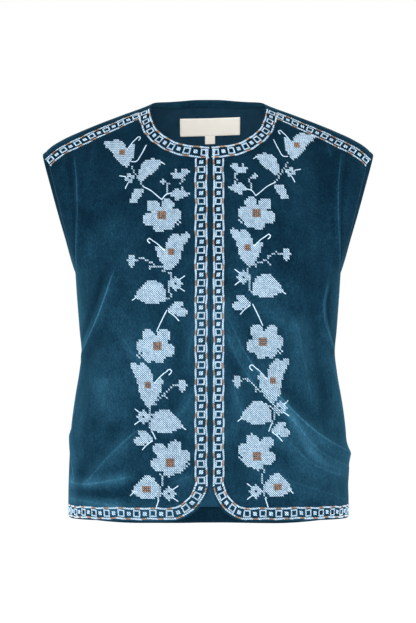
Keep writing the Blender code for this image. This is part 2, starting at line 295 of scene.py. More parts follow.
seam_shares = np.linspace(NECK_SHARE, 1, 50)
shoulder_length = length_along(surface(False, seam_shares, seam_turn(seam_shares)))[-1]
print(f"shoulder seam {shoulder_length * 1000:.0f} mm")

# %% [markdown]
# ## The folds
# Velvet that hangs from the shoulders drags towards the waist and breaks into soft ridges, with a
# shallow trough on each side. A cloth simulation would need a body that isn't there, so each fold
# is drawn as a line over the cloth, through two to six places, with a ridge and its troughs as
# the section. The same function gives the painted light of each fold: the velvet is painted
# lighter on the ridge as a painted highlight, darker in the trough as painted shade, and
# brightest in a thin painted highlight along the crest. That painted light is most of what
# makes the velvet look like velvet.

# %% Lines of the folds
# Places are the share from the front edge (0) past the side seam (1) to the middle back (2), with
# a height. Side is -1 on the wearer's right and 1 on the left. Crisp is how bright the painted
# highlight along the crest is, and soft how much lighter the cloth is painted around it, with
# painted shade where it is less than 0. Dark is the side of the line that falls away, 1 or -1.
FOLD_COLUMNS = ("side", "half_width", "rise", "crisp", "soft", "dark", "places")
FOLDS = (
    (-1, 0.005, 0.0036, 0.55, 0.05, 1, ((0.80, -0.060), (0.79, -0.105), (0.79, -0.16), (0.83, -0.24))),
    (-1, 0.005, 0.0018, 0.15, 0.10, 1, ((0.86, -0.069), (0.90, -0.098))),
    (-1, 0.006, 0.0052, 0.75, 0.15, 1, ((0.49, -0.225), (0.55, -0.265), (0.67, -0.315), (0.93, -0.365))),
    (-1, 0.005, 0.0026, 0.20, 0.10, 1, ((0.48, -0.32), (0.40, -0.35), (0.33, -0.365))),
    (-1, 0.013, 0.0030, 0.00, 0.34, 1, ((0.55, -0.37), (0.53, -0.41), (0.48, -0.45))),
    (-1, 0.007, 0.0036, 0.30, 0.25, -1, ((0.90, -0.45), (0.82, -0.49), (0.74, -0.53))),
    (-1, 0.007, 0.0036, 0.32, 0.18, 1, ((0.68, -0.535), (0.545, -0.499), (0.44, -0.472), (0.31, -0.440))),
    (-1, 0.005, 0.0034, 0.25, 0.60, -1, ((0.93, -0.523), (0.61, -0.526), (0.48, -0.520), (0.33, -0.512))),
    (-1, 0.007, 0.0010, 0.00, -0.34, -1, ((0.80, -0.536), (0.55, -0.540), (0.38, -0.532), (0.26, -0.520))),
    (-1, 0.005, 0.0026, 0.15, 0.56, -1, ((0.90, -0.548), (0.60, -0.551), (0.36, -0.559))),
    (-1, 0.005, 0.0020, 0.20, 0.10, 1, ((0.07, -0.300), (0.103, -0.336), (0.12, -0.368))),
    (-1, 0.006, 0.0028, 0.20, 0.15, 1, ((0.06, -0.388), (0.13, -0.423), (0.24, -0.463))),
    (-1, 0.012, 0.0030, 0.00, 0.16, 1, ((0.42, -0.156), (0.55, -0.181), (0.72, -0.203))),
    (-1, 0.005, 0.0016, 0.12, 0.10, 1, ((0.65, -0.055), (0.68, -0.092))),
    (-1, 0.014, 0.0036, 0.00, 0.12, 1, ((0.60, -0.32), (0.66, -0.40), (0.72, -0.47))),
    (-1, 0.010, 0.0032, 0.10, 0.25, 1, ((0.86, -0.42), (0.80, -0.47), (0.70, -0.51))),
    (-1, 0.005, 0.0018, 0.20, 0.20, 1, ((0.085, -0.512), (0.18, -0.523))),
    (1, 0.005, 0.0036, 0.55, 0.05, 1, ((0.80, -0.058), (0.782, -0.105), (0.785, -0.16), (0.83, -0.24))),
    (1, 0.005, 0.0022, 0.25, 0.10, 1, ((0.668, -0.046), (0.725, -0.08))),
    (1, 0.014, 0.0030, 0.00, 0.14, 1, ((0.50, -0.07), (0.52, -0.15), (0.56, -0.24))),
    (1, 0.005, 0.0050, 0.55, 0.10, 1, ((0.69, -0.235), (0.65, -0.280), (0.69, -0.315), (0.90, -0.358))),
    (1, 0.010, 0.0040, 0.15, 0.25, 1, ((0.45, -0.285), (0.532, -0.35), (0.56, -0.43))),
    (1, 0.007, 0.0074, 0.50, 0.16, -1, (
        (0.08, -0.286), (0.225, -0.357), (0.335, -0.396), (0.60, -0.462), (0.92, -0.488), (1.12, -0.490),
    )),
    (1, 0.005, 0.0026, 0.25, 0.20, -1, ((0.125, -0.380), (0.152, -0.414), (0.18, -0.436))),
    (1, 0.008, 0.0044, 0.25, 0.27, -1, (
        (0.20, -0.385), (0.32, -0.405), (0.42, -0.436), (0.58, -0.480), (0.90, -0.508), (1.06, -0.514),
    )),
    (1, 0.004, 0.0010, 0.00, 0.30, -1, (
        (0.33, -0.400), (0.408, -0.427), (0.492, -0.466), (0.573, -0.490), (0.66, -0.504),
    )),
    (1, 0.009, 0.0044, 0.20, 0.33, -1, ((0.27, -0.443), (0.385, -0.462), (0.525, -0.496), (0.86, -0.522))),
    (1, 0.009, 0.0030, 0.15, 0.30, -1, ((0.26, -0.504), (0.40, -0.519), (0.62, -0.538), (0.85, -0.555))),
    (1, 0.005, 0.0016, 0.12, 0.15, -1, ((0.08, -0.23), (0.21, -0.243))),
    (1, 0.007, 0.0028, 0.12, 0.12, -1, ((0.285, -0.279), (0.43, -0.306))),
    (1, 0.005, 0.0036, 0.30, 0.20, -1, ((0.08, -0.312), (0.17, -0.360), (0.27, -0.398))),
    (1, 0.012, 0.0032, 0.00, 0.20, 1, ((0.66, -0.30), (0.76, -0.37), (0.86, -0.43))),
    (-1, 0.015, 0.0060, 0.15, 0.20, 1, ((1.14, -0.25), (1.28, -0.33), (1.45, -0.42))),
    (1, 0.015, 0.0060, 0.15, 0.20, 1, ((1.14, -0.25), (1.26, -0.33), (1.42, -0.43))),
    (-1, 0.016, 0.0050, 0.00, 0.20, 1, ((1.30, -0.42), (1.42, -0.50), (1.50, -0.58))),
    (1, 0.017, 0.0050, 0.00, 0.20, 1, ((1.36, -0.41), (1.50, -0.50), (1.56, -0.58))),
    (-1, 0.011, 0.0045, 0.25, 0.15, -1, ((1.22, -0.08), (1.18, -0.15), (1.10, -0.228))),
    (1, 0.011, 0.0045, 0.25, 0.15, -1, ((1.22, -0.08), (1.18, -0.15), (1.10, -0.228))),
    (-1, 0.014, 0.0055, 0.12, 0.26, 1, ((1.16, -0.345), (1.40, -0.36), (1.64, -0.35))),
    (1, 0.014, 0.0055, 0.12, 0.26, 1, ((1.14, -0.352), (1.38, -0.372), (1.60, -0.366))),
    (-1, 0.018, 0.0065, 0.10, 0.24, 1, ((1.70, -0.13), (1.74, -0.26), (1.72, -0.38))),
    (1, 0.019, 0.0065, 0.10, 0.24, 1, ((1.66, -0.12), (1.72, -0.26), (1.76, -0.40))),
    (-1, 0.014, 0.0060, 0.15, 0.30, 1, ((1.82, -0.43), (1.80, -0.50), (1.76, -0.585))),
    (1, 0.013, 0.0050, 0.15, 0.30, 1, ((1.90, -0.46), (1.86, -0.53), (1.84, -0.588))),
)
FAR = 0.04  # the distance that is kept where no crest is near
FOLD_REACH = 6  # a fold ends this many half widths from its line
TROUGH = {"at": 2.7, "half_width": 1.3, "depth": 0.26, "other_side": 0.35}
CREST_PULL = 0.006  # a place belongs to the crest that is strong and about this near
CREST_SPREAD = 0.004  # the thin painted highlight may spread this far from its crest


def smooth_line(places, count):
    """Even samples of a smooth line through a few places, with lengths in metres."""
    points = np.array(places, float)
    run = length_along(points)
    at = np.linspace(0, run[-1], count)
    return np.stack([smooth_read(run, points[:, k], at) for k in range(points.shape[1])], axis=-1)


def beside_line(spots, line):
    """How far each spot lies beside a line, more than 0 on one side and less on the other, and how
    far along the line, from 0 to 1."""
    start, step = line[:-1], np.diff(line, axis=0)
    from_start = spots[:, None] - start[None]
    t = ((from_start * step).sum(-1) / (step * step).sum(-1)).clip(0, 1)
    away = from_start - t[..., None] * step
    gap = np.linalg.norm(away, axis=-1)
    nearest, rows = gap.argmin(1), np.arange(len(spots))
    turned = step[nearest, 0] * away[rows, nearest, 1] - step[nearest, 1] * away[rows, nearest, 0]
    sign = np.where(turned < 0, -1.0, 1.0)
    return gap[rows, nearest] * sign, (nearest + t[rows, nearest]) / len(step)


def folds_at(side, place, height):
    """How far the folds push the cloth out, and their painted light: how much lighter or darker the
    cloth is painted, the distance to the nearest thin crest and how bright its painted highlight is."""
    shape = np.broadcast(place, height).shape
    push, painted_light, bright, weight = (np.zeros(shape) for _ in range(4))
    beside = np.full(shape, FAR)
    spot = np.stack(np.broadcast_arrays(place * GIRTH_SCALE, height), axis=-1)
    for row in FOLDS:
        fold = dict(zip(FOLD_COLUMNS, row))
        if fold["side"] != side:
            continue
        line = smooth_line([(a * GIRTH_SCALE, z) for a, z in fold["places"]], 24)
        reach = FOLD_REACH * fold["half_width"]
        near = ((spot > line.min(0) - reach) & (spot < line.max(0) + reach)).all(-1)
        if not near.any():
            continue
        signed, t = beside_line(spot[near], line)
        off = np.abs(signed) / fold["half_width"]
        falls = signed * fold["dark"] > 0
        fade = 0.05 + 0.95 * ease(0, 0.18, t) * (1 - ease(0.78, 1, t))
        fade *= 1 - ease(4.5, FOLD_REACH, off)
        ridge = 0.45 * np.exp(-(off**1.3)) + 0.55 * np.exp(-((off / 2.2) ** 2))
        trough = np.exp(-(((off - TROUGH["at"]) / TROUGH["half_width"]) ** 2))
        trough = trough * np.where(falls, 1.0, TROUGH["other_side"])
        push[near] += fold["rise"] * fade * (ridge - TROUGH["depth"] * trough)
        # Painted highlight around the ridge, and painted shade in the troughs beside it.
        painted_light[near] += fade * (fold["soft"] * np.exp(-((off / 2.0) ** 2)))
        painted_light[near] -= fade * (0.35 * max(fold["crisp"], 0.3) * trough)
        # The nearest strong crest gets a thin painted highlight along it.
        pull = fold["crisp"] * fade * np.exp(-np.abs(signed) / CREST_PULL)
        wins = pull > weight[near]
        inside = np.flatnonzero(near)[wins]
        weight.flat[inside] = pull[wins]
        beside.flat[inside] = signed[wins] * fold["dark"]
        bright.flat[inside] = (fold["crisp"] * fade * np.exp(-((signed / CREST_SPREAD) ** 2)))[wins]
    return push, {"painted_light": painted_light, "beside": beside, "bright": bright}


print("folds:", len(FOLDS))

# %% [markdown]
# ## The cloth itself
# The folds push the smooth surface along its own outward direction, and fade out at the shoulder
# seam so that front and back still meet there. Gentle waves grow towards the hem, and the front
# edges ripple a little, because embroidery always draws velvet up.


# %% Points on the folded cloth
SEAM_FADE = 0.35  # radians below the shoulder seam in which the folds fade out
PILE_EVERYWHERE = -0.03
PAINTED_SHADE_HIGH = -0.27  # painted shade: the velvet is painted darker towards the shoulders
PAINTED_LIGHT_LOW = 0.02  # painted light and shade: near the hem the velvet is painted lighter on the wearer's left, darker on the right


def waves_at(side, place, height):
    """The gentle waves of the hanging cloth, and the ripple that the stitching draws in."""
    hang = ((UNDERARM - height) / (UNDERARM - FRONT_HEM)).clip(0, 1.2)
    ahead = 0.0015 * np.sin(7.0 * place + 0.8 * side)
    behind = 0.004 * np.sin(9.5 * place + 0.6 * side) * ease(0.9, 1.3, place)
    wave = hang * ease(0, 0.12, place) * (ahead + behind) * (1 - ease(1.85, 2.0, place))
    ripple = np.sin(height * 92 + side) + 0.6 * np.sin(height * 151 + 2 * side)
    return wave + 0.0007 * ripple * (1 - ease(0.03, 0.20, place))


def push_at(side, back, share, climb, height):
    """How far out the cloth lies from the smooth form, and the painted light of its folds."""
    place = 2 - share if back else share
    to_seam = (math.pi - seam_turn(share) if back else seam_turn(share)) - climb
    push, nap_and_painted_light = folds_at(side, place, height)
    fade = ease(0.0, SEAM_FADE, to_seam)
    high, low = ease(-0.34, -0.08, height), ease(-0.30, -0.50, height)
    # Painted light: the folds' painted highlights and shade fade out at the seam, the velvet is painted
    # darker towards the shoulders, and near the hem lighter on the wearer's left and darker on the right.
    nap_and_painted_light["painted_light"] = nap_and_painted_light["painted_light"] * fade + PAINTED_SHADE_HIGH * high + PAINTED_LIGHT_LOW * side * low + PILE_EVERYWHERE
    nap_and_painted_light["bright"] = nap_and_painted_light["bright"] * fade
    return (push + waves_at(side, place, height)) * fade, nap_and_painted_light


def cloth(side, back, share, climb, lift=0.0):
    """Points on the outside of the cloth, moved out by lift, and the painted light there."""
    base = surface(back, share, climb)
    push, nap_and_painted_light = push_at(side, back, share, climb, base[..., 2])
    points = base + outward(back, share, climb) * (push + lift)[..., None]
    points[..., 0] *= side
    if not back:
        points[..., 0] += LEAN * (1 - share / NECK_SHARE).clip(0, 1) ** 2
    return points, nap_and_painted_light


sample = cloth(1, False, np.array(0.5), np.array(-0.1))[0]
print("a place half way round the left front:", sample.round(4))

# %% [markdown]
# ## Panels as sewn cloth
# Each panel is a sheet of places, closer together at its edges, at the neck point and in the
# rounded corner, where the outline bends most. The sheet becomes a wall with an outer velvet face
# and an inner lining face. The velvet turns over its edge in a small roll, which is what separates
# a sewn edge from a cut one, and a line of topstitching sinks in beside the armholes.

# %% Columns and rows of a panel
EDGE_STEPS = np.array([0.0012, 0.0026, 0.0044, 0.0062, 0.0071, 0.0080, 0.0089, 0.0098, 0.0120])
EDGE_GIRTH = 0.24  # metres to a share, near the armhole
SEAM_SETBACK = 0.00003  # a panel ends this far from its side seam, where the rolls of two panels touch
TOPSTITCH_INSET = 0.008
ROLL = 0.0011  # radius of the turned edge
EDGE_BULGE = 0.7  # how far its middle stands out, as a share of half the wall
LEVEL_TURN = math.radians(33)  # above the underarm the rows are level up to this turn
FRONT_ROWS = (150, 26, 60)  # up the body, level, and spread out to the top edge
BACK_ROWS = (132, 24, 74)


def shoulder_shares(count):
    """Even columns from the neck point out, then close ones beside the armhole edge."""
    end = 1 - SEAM_SETBACK / GIRTH_SCALE
    beside = end - EDGE_STEPS[::-1] / EDGE_GIRTH
    even = np.linspace(NECK_SHARE, beside[0], count + 1)[1:-1]
    return np.concatenate([even, beside, [end]])


def front_shares():
    """Columns of a front: round the corner, up to the neck point, and out to the armhole."""
    start = FRONT_GAP / 2 / GIRTH_SCALE
    corner = CORNER_RADIUS / GIRTH_SCALE * (1 - np.cos(np.linspace(0, math.pi / 2, 17)[1:]))
    to_neck = corner[-1] + (NECK_SHARE - corner[-1]) * np.sin(np.linspace(0, math.pi / 2, 22)[1:])
    return np.concatenate([[start], corner[corner > start * 1.3], to_neck, shoulder_shares(84)])


def back_shares():
    """Columns of one half of the back, from the side seam to the middle."""
    neck = NECK_SHARE * np.sin(np.linspace(0, math.pi / 2, 26))
    return np.concatenate([neck, shoulder_shares(54)])[::-1]


def climb_rows(bottom, top, body_rows, level_rows, top_rows):
    """Rows up the body, level rows above the underarm, and rows spread out to the top edge."""
    first = np.array([0.0, 0.0014, 0.0030])
    up = [bottom + step for step in first]
    up += [bottom + first[-1] + (-bottom - first[-1]) * k / body_rows for k in range(1, body_rows)]
    up += [np.full(bottom.shape, LEVEL_TURN * k / level_rows) for k in range(level_rows)]
    last = np.array([0.022, 0.010, 0.0])
    fill = np.arange(top_rows) / top_rows
    up += [LEVEL_TURN + (top - last[0] - LEVEL_TURN) * k for k in fill]
    up += [top - step for step in last]
    return np.array(up)


print("columns of a front:", len(front_shares()), "and of the back:", 2 * len(back_shares()) - 1)


# %% A wall of cloth
def run_from_edges(points):
    """How far each point of a sheet lies from the nearest edge, along the rows and columns."""
    along = np.linalg.norm(np.diff(points, axis=1), axis=-1)
    up = np.linalg.norm(np.diff(points, axis=0), axis=-1)
    zero_column, zero_row = np.zeros((points.shape[0], 1)), np.zeros((1, points.shape[1]))
    left = np.concatenate([zero_column, np.cumsum(along, 1)], 1)
    right = left[:, -1:] - left
    low = np.concatenate([zero_row, np.cumsum(up, 0)], 0)
    high = low[-1:] - low
    return {"left": left, "right": right, "low": low, "high": high}


def rounded_in(distance):
    """How far the outside of the cloth turns in near an edge, as a quarter circle."""
    inside = (1 - distance / ROLL).clip(0, 1)
    return ROLL * (1 - np.sqrt(1 - inside**2))


def rim_loop(rows, across):
    """The indices of a sheet's edge, all the way round."""
    loop = list(range(across))
    loop += [i * across + across - 1 for i in range(1, rows)]
    loop += [(rows - 1) * across + j for j in range(across - 2, -1, -1)]
    loop += [i * across for i in range(rows - 2, 0, -1)]
    return loop


def wall(name, outer, inner, finishes, flat, turned=False, nap_and_painted_light=None):
    """A closed wall of cloth from its outer and inner sheets, with a rolled edge between them.
    finishes are the outer and the inner material, and flat the place of each point on the cut."""
    rows, across = outer.shape[:2]
    count = rows * across
    grid = np.arange(count).reshape(rows, across)
    quads = np.stack([grid[:-1, :-1], grid[:-1, 1:], grid[1:, 1:], grid[1:, :-1]], -1).reshape(-1, 4)
    loop = np.array(rim_loop(rows, across))
    places_out, places_in = outer.reshape(-1, 3), inner.reshape(-1, 3)
    inward = np.zeros((rows, across, 3))
    inward[:, 0] += unit(outer[:, 2] - outer[:, 0])
    inward[:, -1] += unit(outer[:, -3] - outer[:, -1])
    inward[0] += unit(outer[2] - outer[0])
    inward[-1] += unit(outer[-3] - outer[-1])
    away = -unit(inward.reshape(-1, 3)[loop])
    half = np.linalg.norm(places_out[loop] - places_in[loop], axis=1, keepdims=True) / 2
    middle = (places_out[loop] + places_in[loop]) / 2 + away * half * EDGE_BULGE
    rim = np.arange(len(loop)) + 2 * count
    nxt, rim_nxt = np.roll(loop, -1), np.roll(rim, -1)
    upper = np.stack([nxt, loop, rim, rim_nxt], -1)
    lower = np.stack([rim_nxt, rim, loop + count, nxt + count], -1)
    faces = np.concatenate([quads, quads[:, ::-1] + count, upper, lower])
    if turned:
        faces = faces[:, ::-1]

    mesh = bpy.data.meshes.new(name)
    mesh.from_pydata(np.concatenate([places_out, places_in, middle]).tolist(), [], faces.tolist())
    for finish in finishes:
        mesh.materials.append(finish)
    slots = np.zeros(len(faces), int)
    slots[len(quads) : 2 * len(quads)] = len(finishes) - 1
    mesh.polygons.foreach_set("material_index", slots)
    flat_all = np.concatenate([flat.reshape(-1, 2), flat.reshape(-1, 2), flat.reshape(-1, 2)[loop]])
    layer = mesh.uv_layers.new(name="cut")
    corners = np.zeros(len(mesh.loops), int)
    mesh.loops.foreach_get("vertex_index", corners)
    layer.data.foreach_set("uv", flat_all[corners].astype(np.float32).ravel())
    # The painted light of the folds, the distance to the nearest crest and the strength of its painted
    # highlight, kept on the mesh for the velvet.
    for key, plain in (("painted_light", 0.0), ("beside", FAR), ("bright", 0.0)):
        values = np.full(count, plain) if nap_and_painted_light is None else nap_and_painted_light[key].ravel()
        values = np.concatenate([values, np.full(count, plain), values[loop]])
        mesh.attributes.new(key, "FLOAT", "POINT").data.foreach_set("value", values.astype(np.float32))
    mesh.shade_smooth()
    made = bpy.data.objects.new(name, mesh)
    bpy.context.scene.collection.objects.link(made)
    return made


# %% [markdown]
# ## Velvet, lining, label and thread
# Velvet is dark where you look into the pile and bright where you look along it, so its finish has
# a deep base colour, some sheen, and a nap that lies a little differently from one hand-sized
# patch to the next. Stroked patches are lighter, and the folds add painted light: painted
# highlights on their ridges and crests, painted shade in their troughs. The nap is a node group,
# because the lining and the labels use the same kind of soft mottling at another scale.


# %% Node helpers
def set_inputs(node, values):
    """Sets plain values on a node's own sockets."""
    for key, value in values.items():
        node.inputs[key].default_value = value


def add_node(tree, kind, inputs=None, **settings):
    """A node with its settings and input values."""
    made = tree.nodes.new(kind)
    for key, value in settings.items():
        setattr(made, key, value)
    set_inputs(made, inputs or {})
    return made


def through(tree, value, *nodes):
    """Sends a value through nodes one after the other, by their first sockets."""
    for node in nodes:
        tree.links.new(value, node.inputs[0])
        value = node.outputs[0]
    return value


def math_node(tree, operation, second=None):
    """A maths node, with its second value where that is a plain number."""
    return add_node(tree, "ShaderNodeMath", {} if second is None else {1: second}, operation=operation)


def scaled(tree, value, factor):
    """A value times a plain number."""
    return through(tree, value, math_node(tree, "MULTIPLY", factor))


def weighted(tree, parts):
    """The sum of some values, each times its own weight."""
    total, *others = [scaled(tree, value, weight) for value, weight in parts]
    for other in others:
        both = math_node(tree, "ADD")
        tree.links.new(other, both.inputs[1])
        total = through(tree, total, both)
    return total


def attribute(tree, name):
    """A value that the mesh keeps under a name."""
    return add_node(tree, "ShaderNodeAttribute", attribute_name=name).outputs["Fac"]


def add_inputs(tree, inputs):
    """Named input sockets of a group, each with its kind and its value."""
    for socket, (kind, value) in inputs.items():
        made = tree.interface.new_socket(socket, in_out="INPUT", socket_type=kind)
        if value is not None:
            made.default_value = value


def new_group(name, inputs, outputs):
    """A shader node group with named sockets, and its input and output nodes."""
    group = bpy.data.node_groups.new(name, "ShaderNodeTree")
    add_inputs(group, inputs)
    for socket, kind in outputs.items():
        group.interface.new_socket(socket, in_out="OUTPUT", socket_type=kind)
    return group, group.nodes.new("NodeGroupInput"), group.nodes.new("NodeGroupOutput")


def make_nap_group():
    """Soft mottling from hand-sized patches down to single tufts, as a shade from 0 to 1 and a
    height for a bump."""
    group, given, result = new_group(
        "nap_and_painted_light",
        {
            "Patches": ("NodeSocketFloat", 24.0),
            "Strokes": ("NodeSocketFloat", 120.0),
            "Tufts": ("NodeSocketFloat", 900.0),
        },
        {"Shade": "NodeSocketFloat", "Height": "NodeSocketFloat"},
    )
    links = group.links
    place = add_node(group, "ShaderNodeTexCoord")
    stretch = add_node(group, "ShaderNodeMapping", {"Scale": (1.0, 1.0, 0.6)})
    patches = add_node(group, "ShaderNodeTexNoise", {"Detail": 2.0, "Roughness": 0.5, "Distortion": 0.5})
    strokes = add_node(group, "ShaderNodeTexNoise", {"Detail": 3.0, "Roughness": 0.65})
    tufts = add_node(group, "ShaderNodeTexNoise", {"Detail": 2.0, "Roughness": 0.6})
    coarse = add_node(group, "ShaderNodeMix", {"Factor": 0.34}, data_type="FLOAT")
    fine = add_node(group, "ShaderNodeMix", {"Factor": 0.46}, data_type="FLOAT")
    spread = add_node(group, "ShaderNodeMapRange", {"From Min": 0.30, "From Max": 0.70})
    links.new(place.outputs["Object"], stretch.inputs["Vector"])
    for noise, socket in ((patches, "Patches"), (strokes, "Strokes"), (tufts, "Tufts")):
        links.new(stretch.outputs["Vector"], noise.inputs["Vector"])
        links.new(given.outputs[socket], noise.inputs["Scale"])
    links.new(patches.outputs["Fac"], coarse.inputs["A"])
    links.new(strokes.outputs["Fac"], coarse.inputs["B"])
    links.new(coarse.outputs["Result"], fine.inputs["A"])
    links.new(tufts.outputs["Fac"], fine.inputs["B"])
    links.new(fine.outputs["Result"], spread.inputs["Value"])
    links.new(spread.outputs["Result"], result.inputs["Shade"])
    links.new(tufts.outputs["Fac"], result.inputs["Height"])
    return group


NAP = make_nap_group()


# %% Velvet
def new_material(name, values):
    """A finish, its tree and its shader, with plain values for the shader's sockets."""
    made = bpy.data.materials.new(name)
    made.use_nodes = True
    shader = made.node_tree.nodes["Principled BSDF"]
    set_inputs(shader, values)
    return made, made.node_tree, shader


def add_bump(tree, shader, height, strength, distance):
    """Turns a height into a fine relief on the shader."""
    bump = add_node(tree, "ShaderNodeBump", {"Strength": strength, "Distance": distance})
    tree.links.new(height, bump.inputs["Height"])
    tree.links.new(bump.outputs["Normal"], shader.inputs["Normal"])


def make_crest_group():
    """The thin painted highlight on a fold's crest, sharp however coarse the mesh is, because it is read
    from the distance to the crest and not from a mask."""
    group, given, result = new_group(
        "crest",
        {"Width": ("NodeSocketFloat", 0.0016)},
        {"Line": "NodeSocketFloat"},
    )
    widths, size = math_node(group, "DIVIDE"), math_node(group, "ABSOLUTE")
    square, minus = math_node(group, "POWER", 2.0), math_node(group, "MULTIPLY", -1.0)
    bell, line = math_node(group, "EXPONENT"), math_node(group, "MULTIPLY")
    group.links.new(given.outputs["Width"], widths.inputs[1])
    group.links.new(attribute(group, "bright"), line.inputs[1])
    shine = through(group, attribute(group, "beside"), widths, size, square, minus, bell, line)
    group.links.new(shine, result.inputs["Line"])
    return group


CREST = make_crest_group()


def make_velvet():
    """Dark teal velvet with some sheen and random mottle, painted lighter on the fold ridges and crests as
    painted highlight and darker in the troughs as painted shade.
    """
    made, tree, shader = new_material(
        "teal_velvet",
        {
            "Roughness": 0.95,
            "Specular IOR Level": 0.04,
            "Sheen Weight": 0.30,
            "Sheen Roughness": 0.42,
            "Sheen Tint": (0.05, 0.30, 0.48, 1.0),
        },
    )
    scales = {"Patches": 20.0, "Strokes": 100.0, "Tufts": 520.0}
    nap_and_painted_light = add_node(tree, "ShaderNodeGroup", scales, node_tree=NAP)
    crest = add_node(tree, "ShaderNodeGroup", {"Width": 0.0015}, node_tree=CREST)
    # The colours run from the darkest painted shade to the brightest painted highlight, with the random
    # mottle in between.
    depth = add_node(tree, "ShaderNodeValToRGB")
    ramp = depth.color_ramp
    ramp.elements[0].color = (0.0012, 0.0110, 0.0235, 1.0)
    ramp.elements[1].color = (0.0360, 0.1300, 0.2100, 1.0)
    for at, color in (
        (0.25, (0.0036, 0.0235, 0.0440, 1.0)),
        (0.50, (0.0090, 0.0450, 0.0780, 1.0)),
        (0.75, (0.0180, 0.0760, 0.1260, 1.0)),
    ):
        ramp.elements.new(at).color = color
    # Random mottle, plus the folds' painted light and the crests' painted highlight.
    parts = ((nap_and_painted_light.outputs["Shade"], 0.62), (attribute(tree, "painted_light"), 0.75), (crest.outputs["Line"], 0.70))
    mottle_and_painted_light = weighted(tree, parts)
    tree.links.new(mottle_and_painted_light, depth.inputs["Fac"])
    tree.links.new(depth.outputs["Color"], shader.inputs["Base Color"])
    add_bump(tree, shader, nap_and_painted_light.outputs["Height"], 0.4, 0.0006)
    return made


VELVET = make_velvet()


# %% Lining and label
def make_weave_group():
    """Plain weave on the cut's own measure: a height that rises over each crossing."""
    group, given, result = new_group(
        "weave", {"Threads": ("NodeSocketFloat", 2000.0)}, {"Height": "NodeSocketFloat"}
    )
    place = add_node(group, "ShaderNodeUVMap", uv_map="cut")
    across = add_node(group, "ShaderNodeTexWave", bands_direction="X", wave_profile="SIN")
    along = add_node(group, "ShaderNodeTexWave", bands_direction="Y", wave_profile="SIN")
    crossed = math_node(group, "MULTIPLY")
    for wave in (across, along):
        group.links.new(place.outputs["UV"], wave.inputs["Vector"])
        group.links.new(given.outputs["Threads"], wave.inputs["Scale"])
    group.links.new(across.outputs["Fac"], crossed.inputs[0])
    group.links.new(along.outputs["Fac"], crossed.inputs[1])
    group.links.new(crossed.outputs["Value"], result.inputs["Height"])
    return group


WEAVE = make_weave_group()


def make_woven(name, dark, light, threads, bump, low=1.0):
    """A woven finish: mottled between two colours, with the weave as a bump. Low is how much
    lighter it is at the hem, where light comes in from below."""
    made, tree, shader = new_material(name, {"Roughness": 0.8, "Specular IOR Level": 0.12})
    scales = {"Patches": 60.0, "Strokes": 400.0, "Tufts": 2500.0}
    nap_and_painted_light = add_node(tree, "ShaderNodeGroup", scales, node_tree=NAP)
    shades = add_node(tree, "ShaderNodeMix", {"A": dark, "B": light}, data_type="RGBA")
    weave = add_node(tree, "ShaderNodeGroup", {"Threads": threads}, node_tree=WEAVE)
    place = add_node(tree, "ShaderNodeTexCoord")
    height = add_node(tree, "ShaderNodeSeparateXYZ")
    wash = add_node(
        tree, "ShaderNodeMapRange", {"From Min": -0.25, "From Max": -0.50, "To Min": 1.0, "To Max": low}
    )
    lit = add_node(tree, "ShaderNodeVectorMath", operation="SCALE")
    tree.links.new(place.outputs["Object"], height.inputs["Vector"])
    tree.links.new(height.outputs["Z"], wash.inputs["Value"])
    tree.links.new(nap_and_painted_light.outputs["Shade"], shades.inputs["Factor"])
    tree.links.new(shades.outputs["Result"], lit.inputs[0])
    tree.links.new(wash.outputs["Result"], lit.inputs["Scale"])
    tree.links.new(lit.outputs["Vector"], shader.inputs["Base Color"])
    add_bump(tree, shader, weave.outputs["Height"], bump, 0.0003)
    return made


LINING = make_woven("teal_lining", (0.0028, 0.0210, 0.0410, 1), (0.0088, 0.0480, 0.0870, 1), 700, 0.3, 2.3)
LABEL = make_woven("cream_label", (0.94, 0.895, 0.800, 1), (0.98, 0.945, 0.865, 1), 500, 0.35)


# %% Thread
THREAD_TURNS = 5.0  # how often the plies twist round one stitch


def make_thread(name, dark, light, metallic, roughness, sheen=0.2):
    """Embroidery thread: plies that twist round it, painted darker between them as shade, a random tone of
    its own for each stitch, and painted shade on the lower leg of a cross.
    """
    made, tree, shader = new_material(
        name, {"Roughness": roughness, "Metallic": metallic, "Sheen Weight": sheen}
    )
    turns, both = math_node(tree, "MULTIPLY", THREAD_TURNS), math_node(tree, "ADD")
    circle, wave = math_node(tree, "MULTIPLY", 2 * math.pi), math_node(tree, "SINE")
    spread = add_node(tree, "ShaderNodeMapRange", {"From Min": -1.0, "From Max": 1.0})
    shades = add_node(tree, "ShaderNodeMix", {"A": dark, "B": light}, data_type="RGBA")
    tree.links.new(attribute(tree, "around"), both.inputs[1])
    ply = through(tree, attribute(tree, "along"), turns, both, circle, wave, spread)
    # The plies' twist and the lower leg of a cross are painted darker as shade; the stitch's own random tone
    # is mixed in.
    parts = ((ply, 0.25), (attribute(tree, "shade"), 0.25), (attribute(tree, "layer"), 0.5))
    tone = weighted(tree, parts)
    tree.links.new(tone, shades.inputs["Factor"])
    tree.links.new(shades.outputs["Result"], shader.inputs["Base Color"])
    add_bump(tree, shader, ply, 0.5, 0.0002)
    return made


# The dark end of each thread's colours is painted shade, between the plies and on the lower leg of a cross.
BLUE = make_thread("light_blue_thread", (0.18, 0.34, 0.51, 1), (0.65, 0.83, 0.97, 1), 0.0, 0.55)
COPPER = make_thread("copper_thread", (0.10, 0.055, 0.030, 1), (0.76, 0.43, 0.245, 1), 0.25, 0.42)
TEAL_THREAD = make_thread("teal_thread", (0.010, 0.040, 0.065, 1), (0.020, 0.070, 0.110, 1), 0.0, 0.8, 0.0)
CREAM_THREAD = make_thread("cream_thread", (0.62, 0.58, 0.50, 1), (0.78, 0.75, 0.68, 1), 0.0, 0.6)
print("finishes:", ", ".join(finish.name for finish in (VELVET, LINING, LABEL, BLUE, COPPER)))

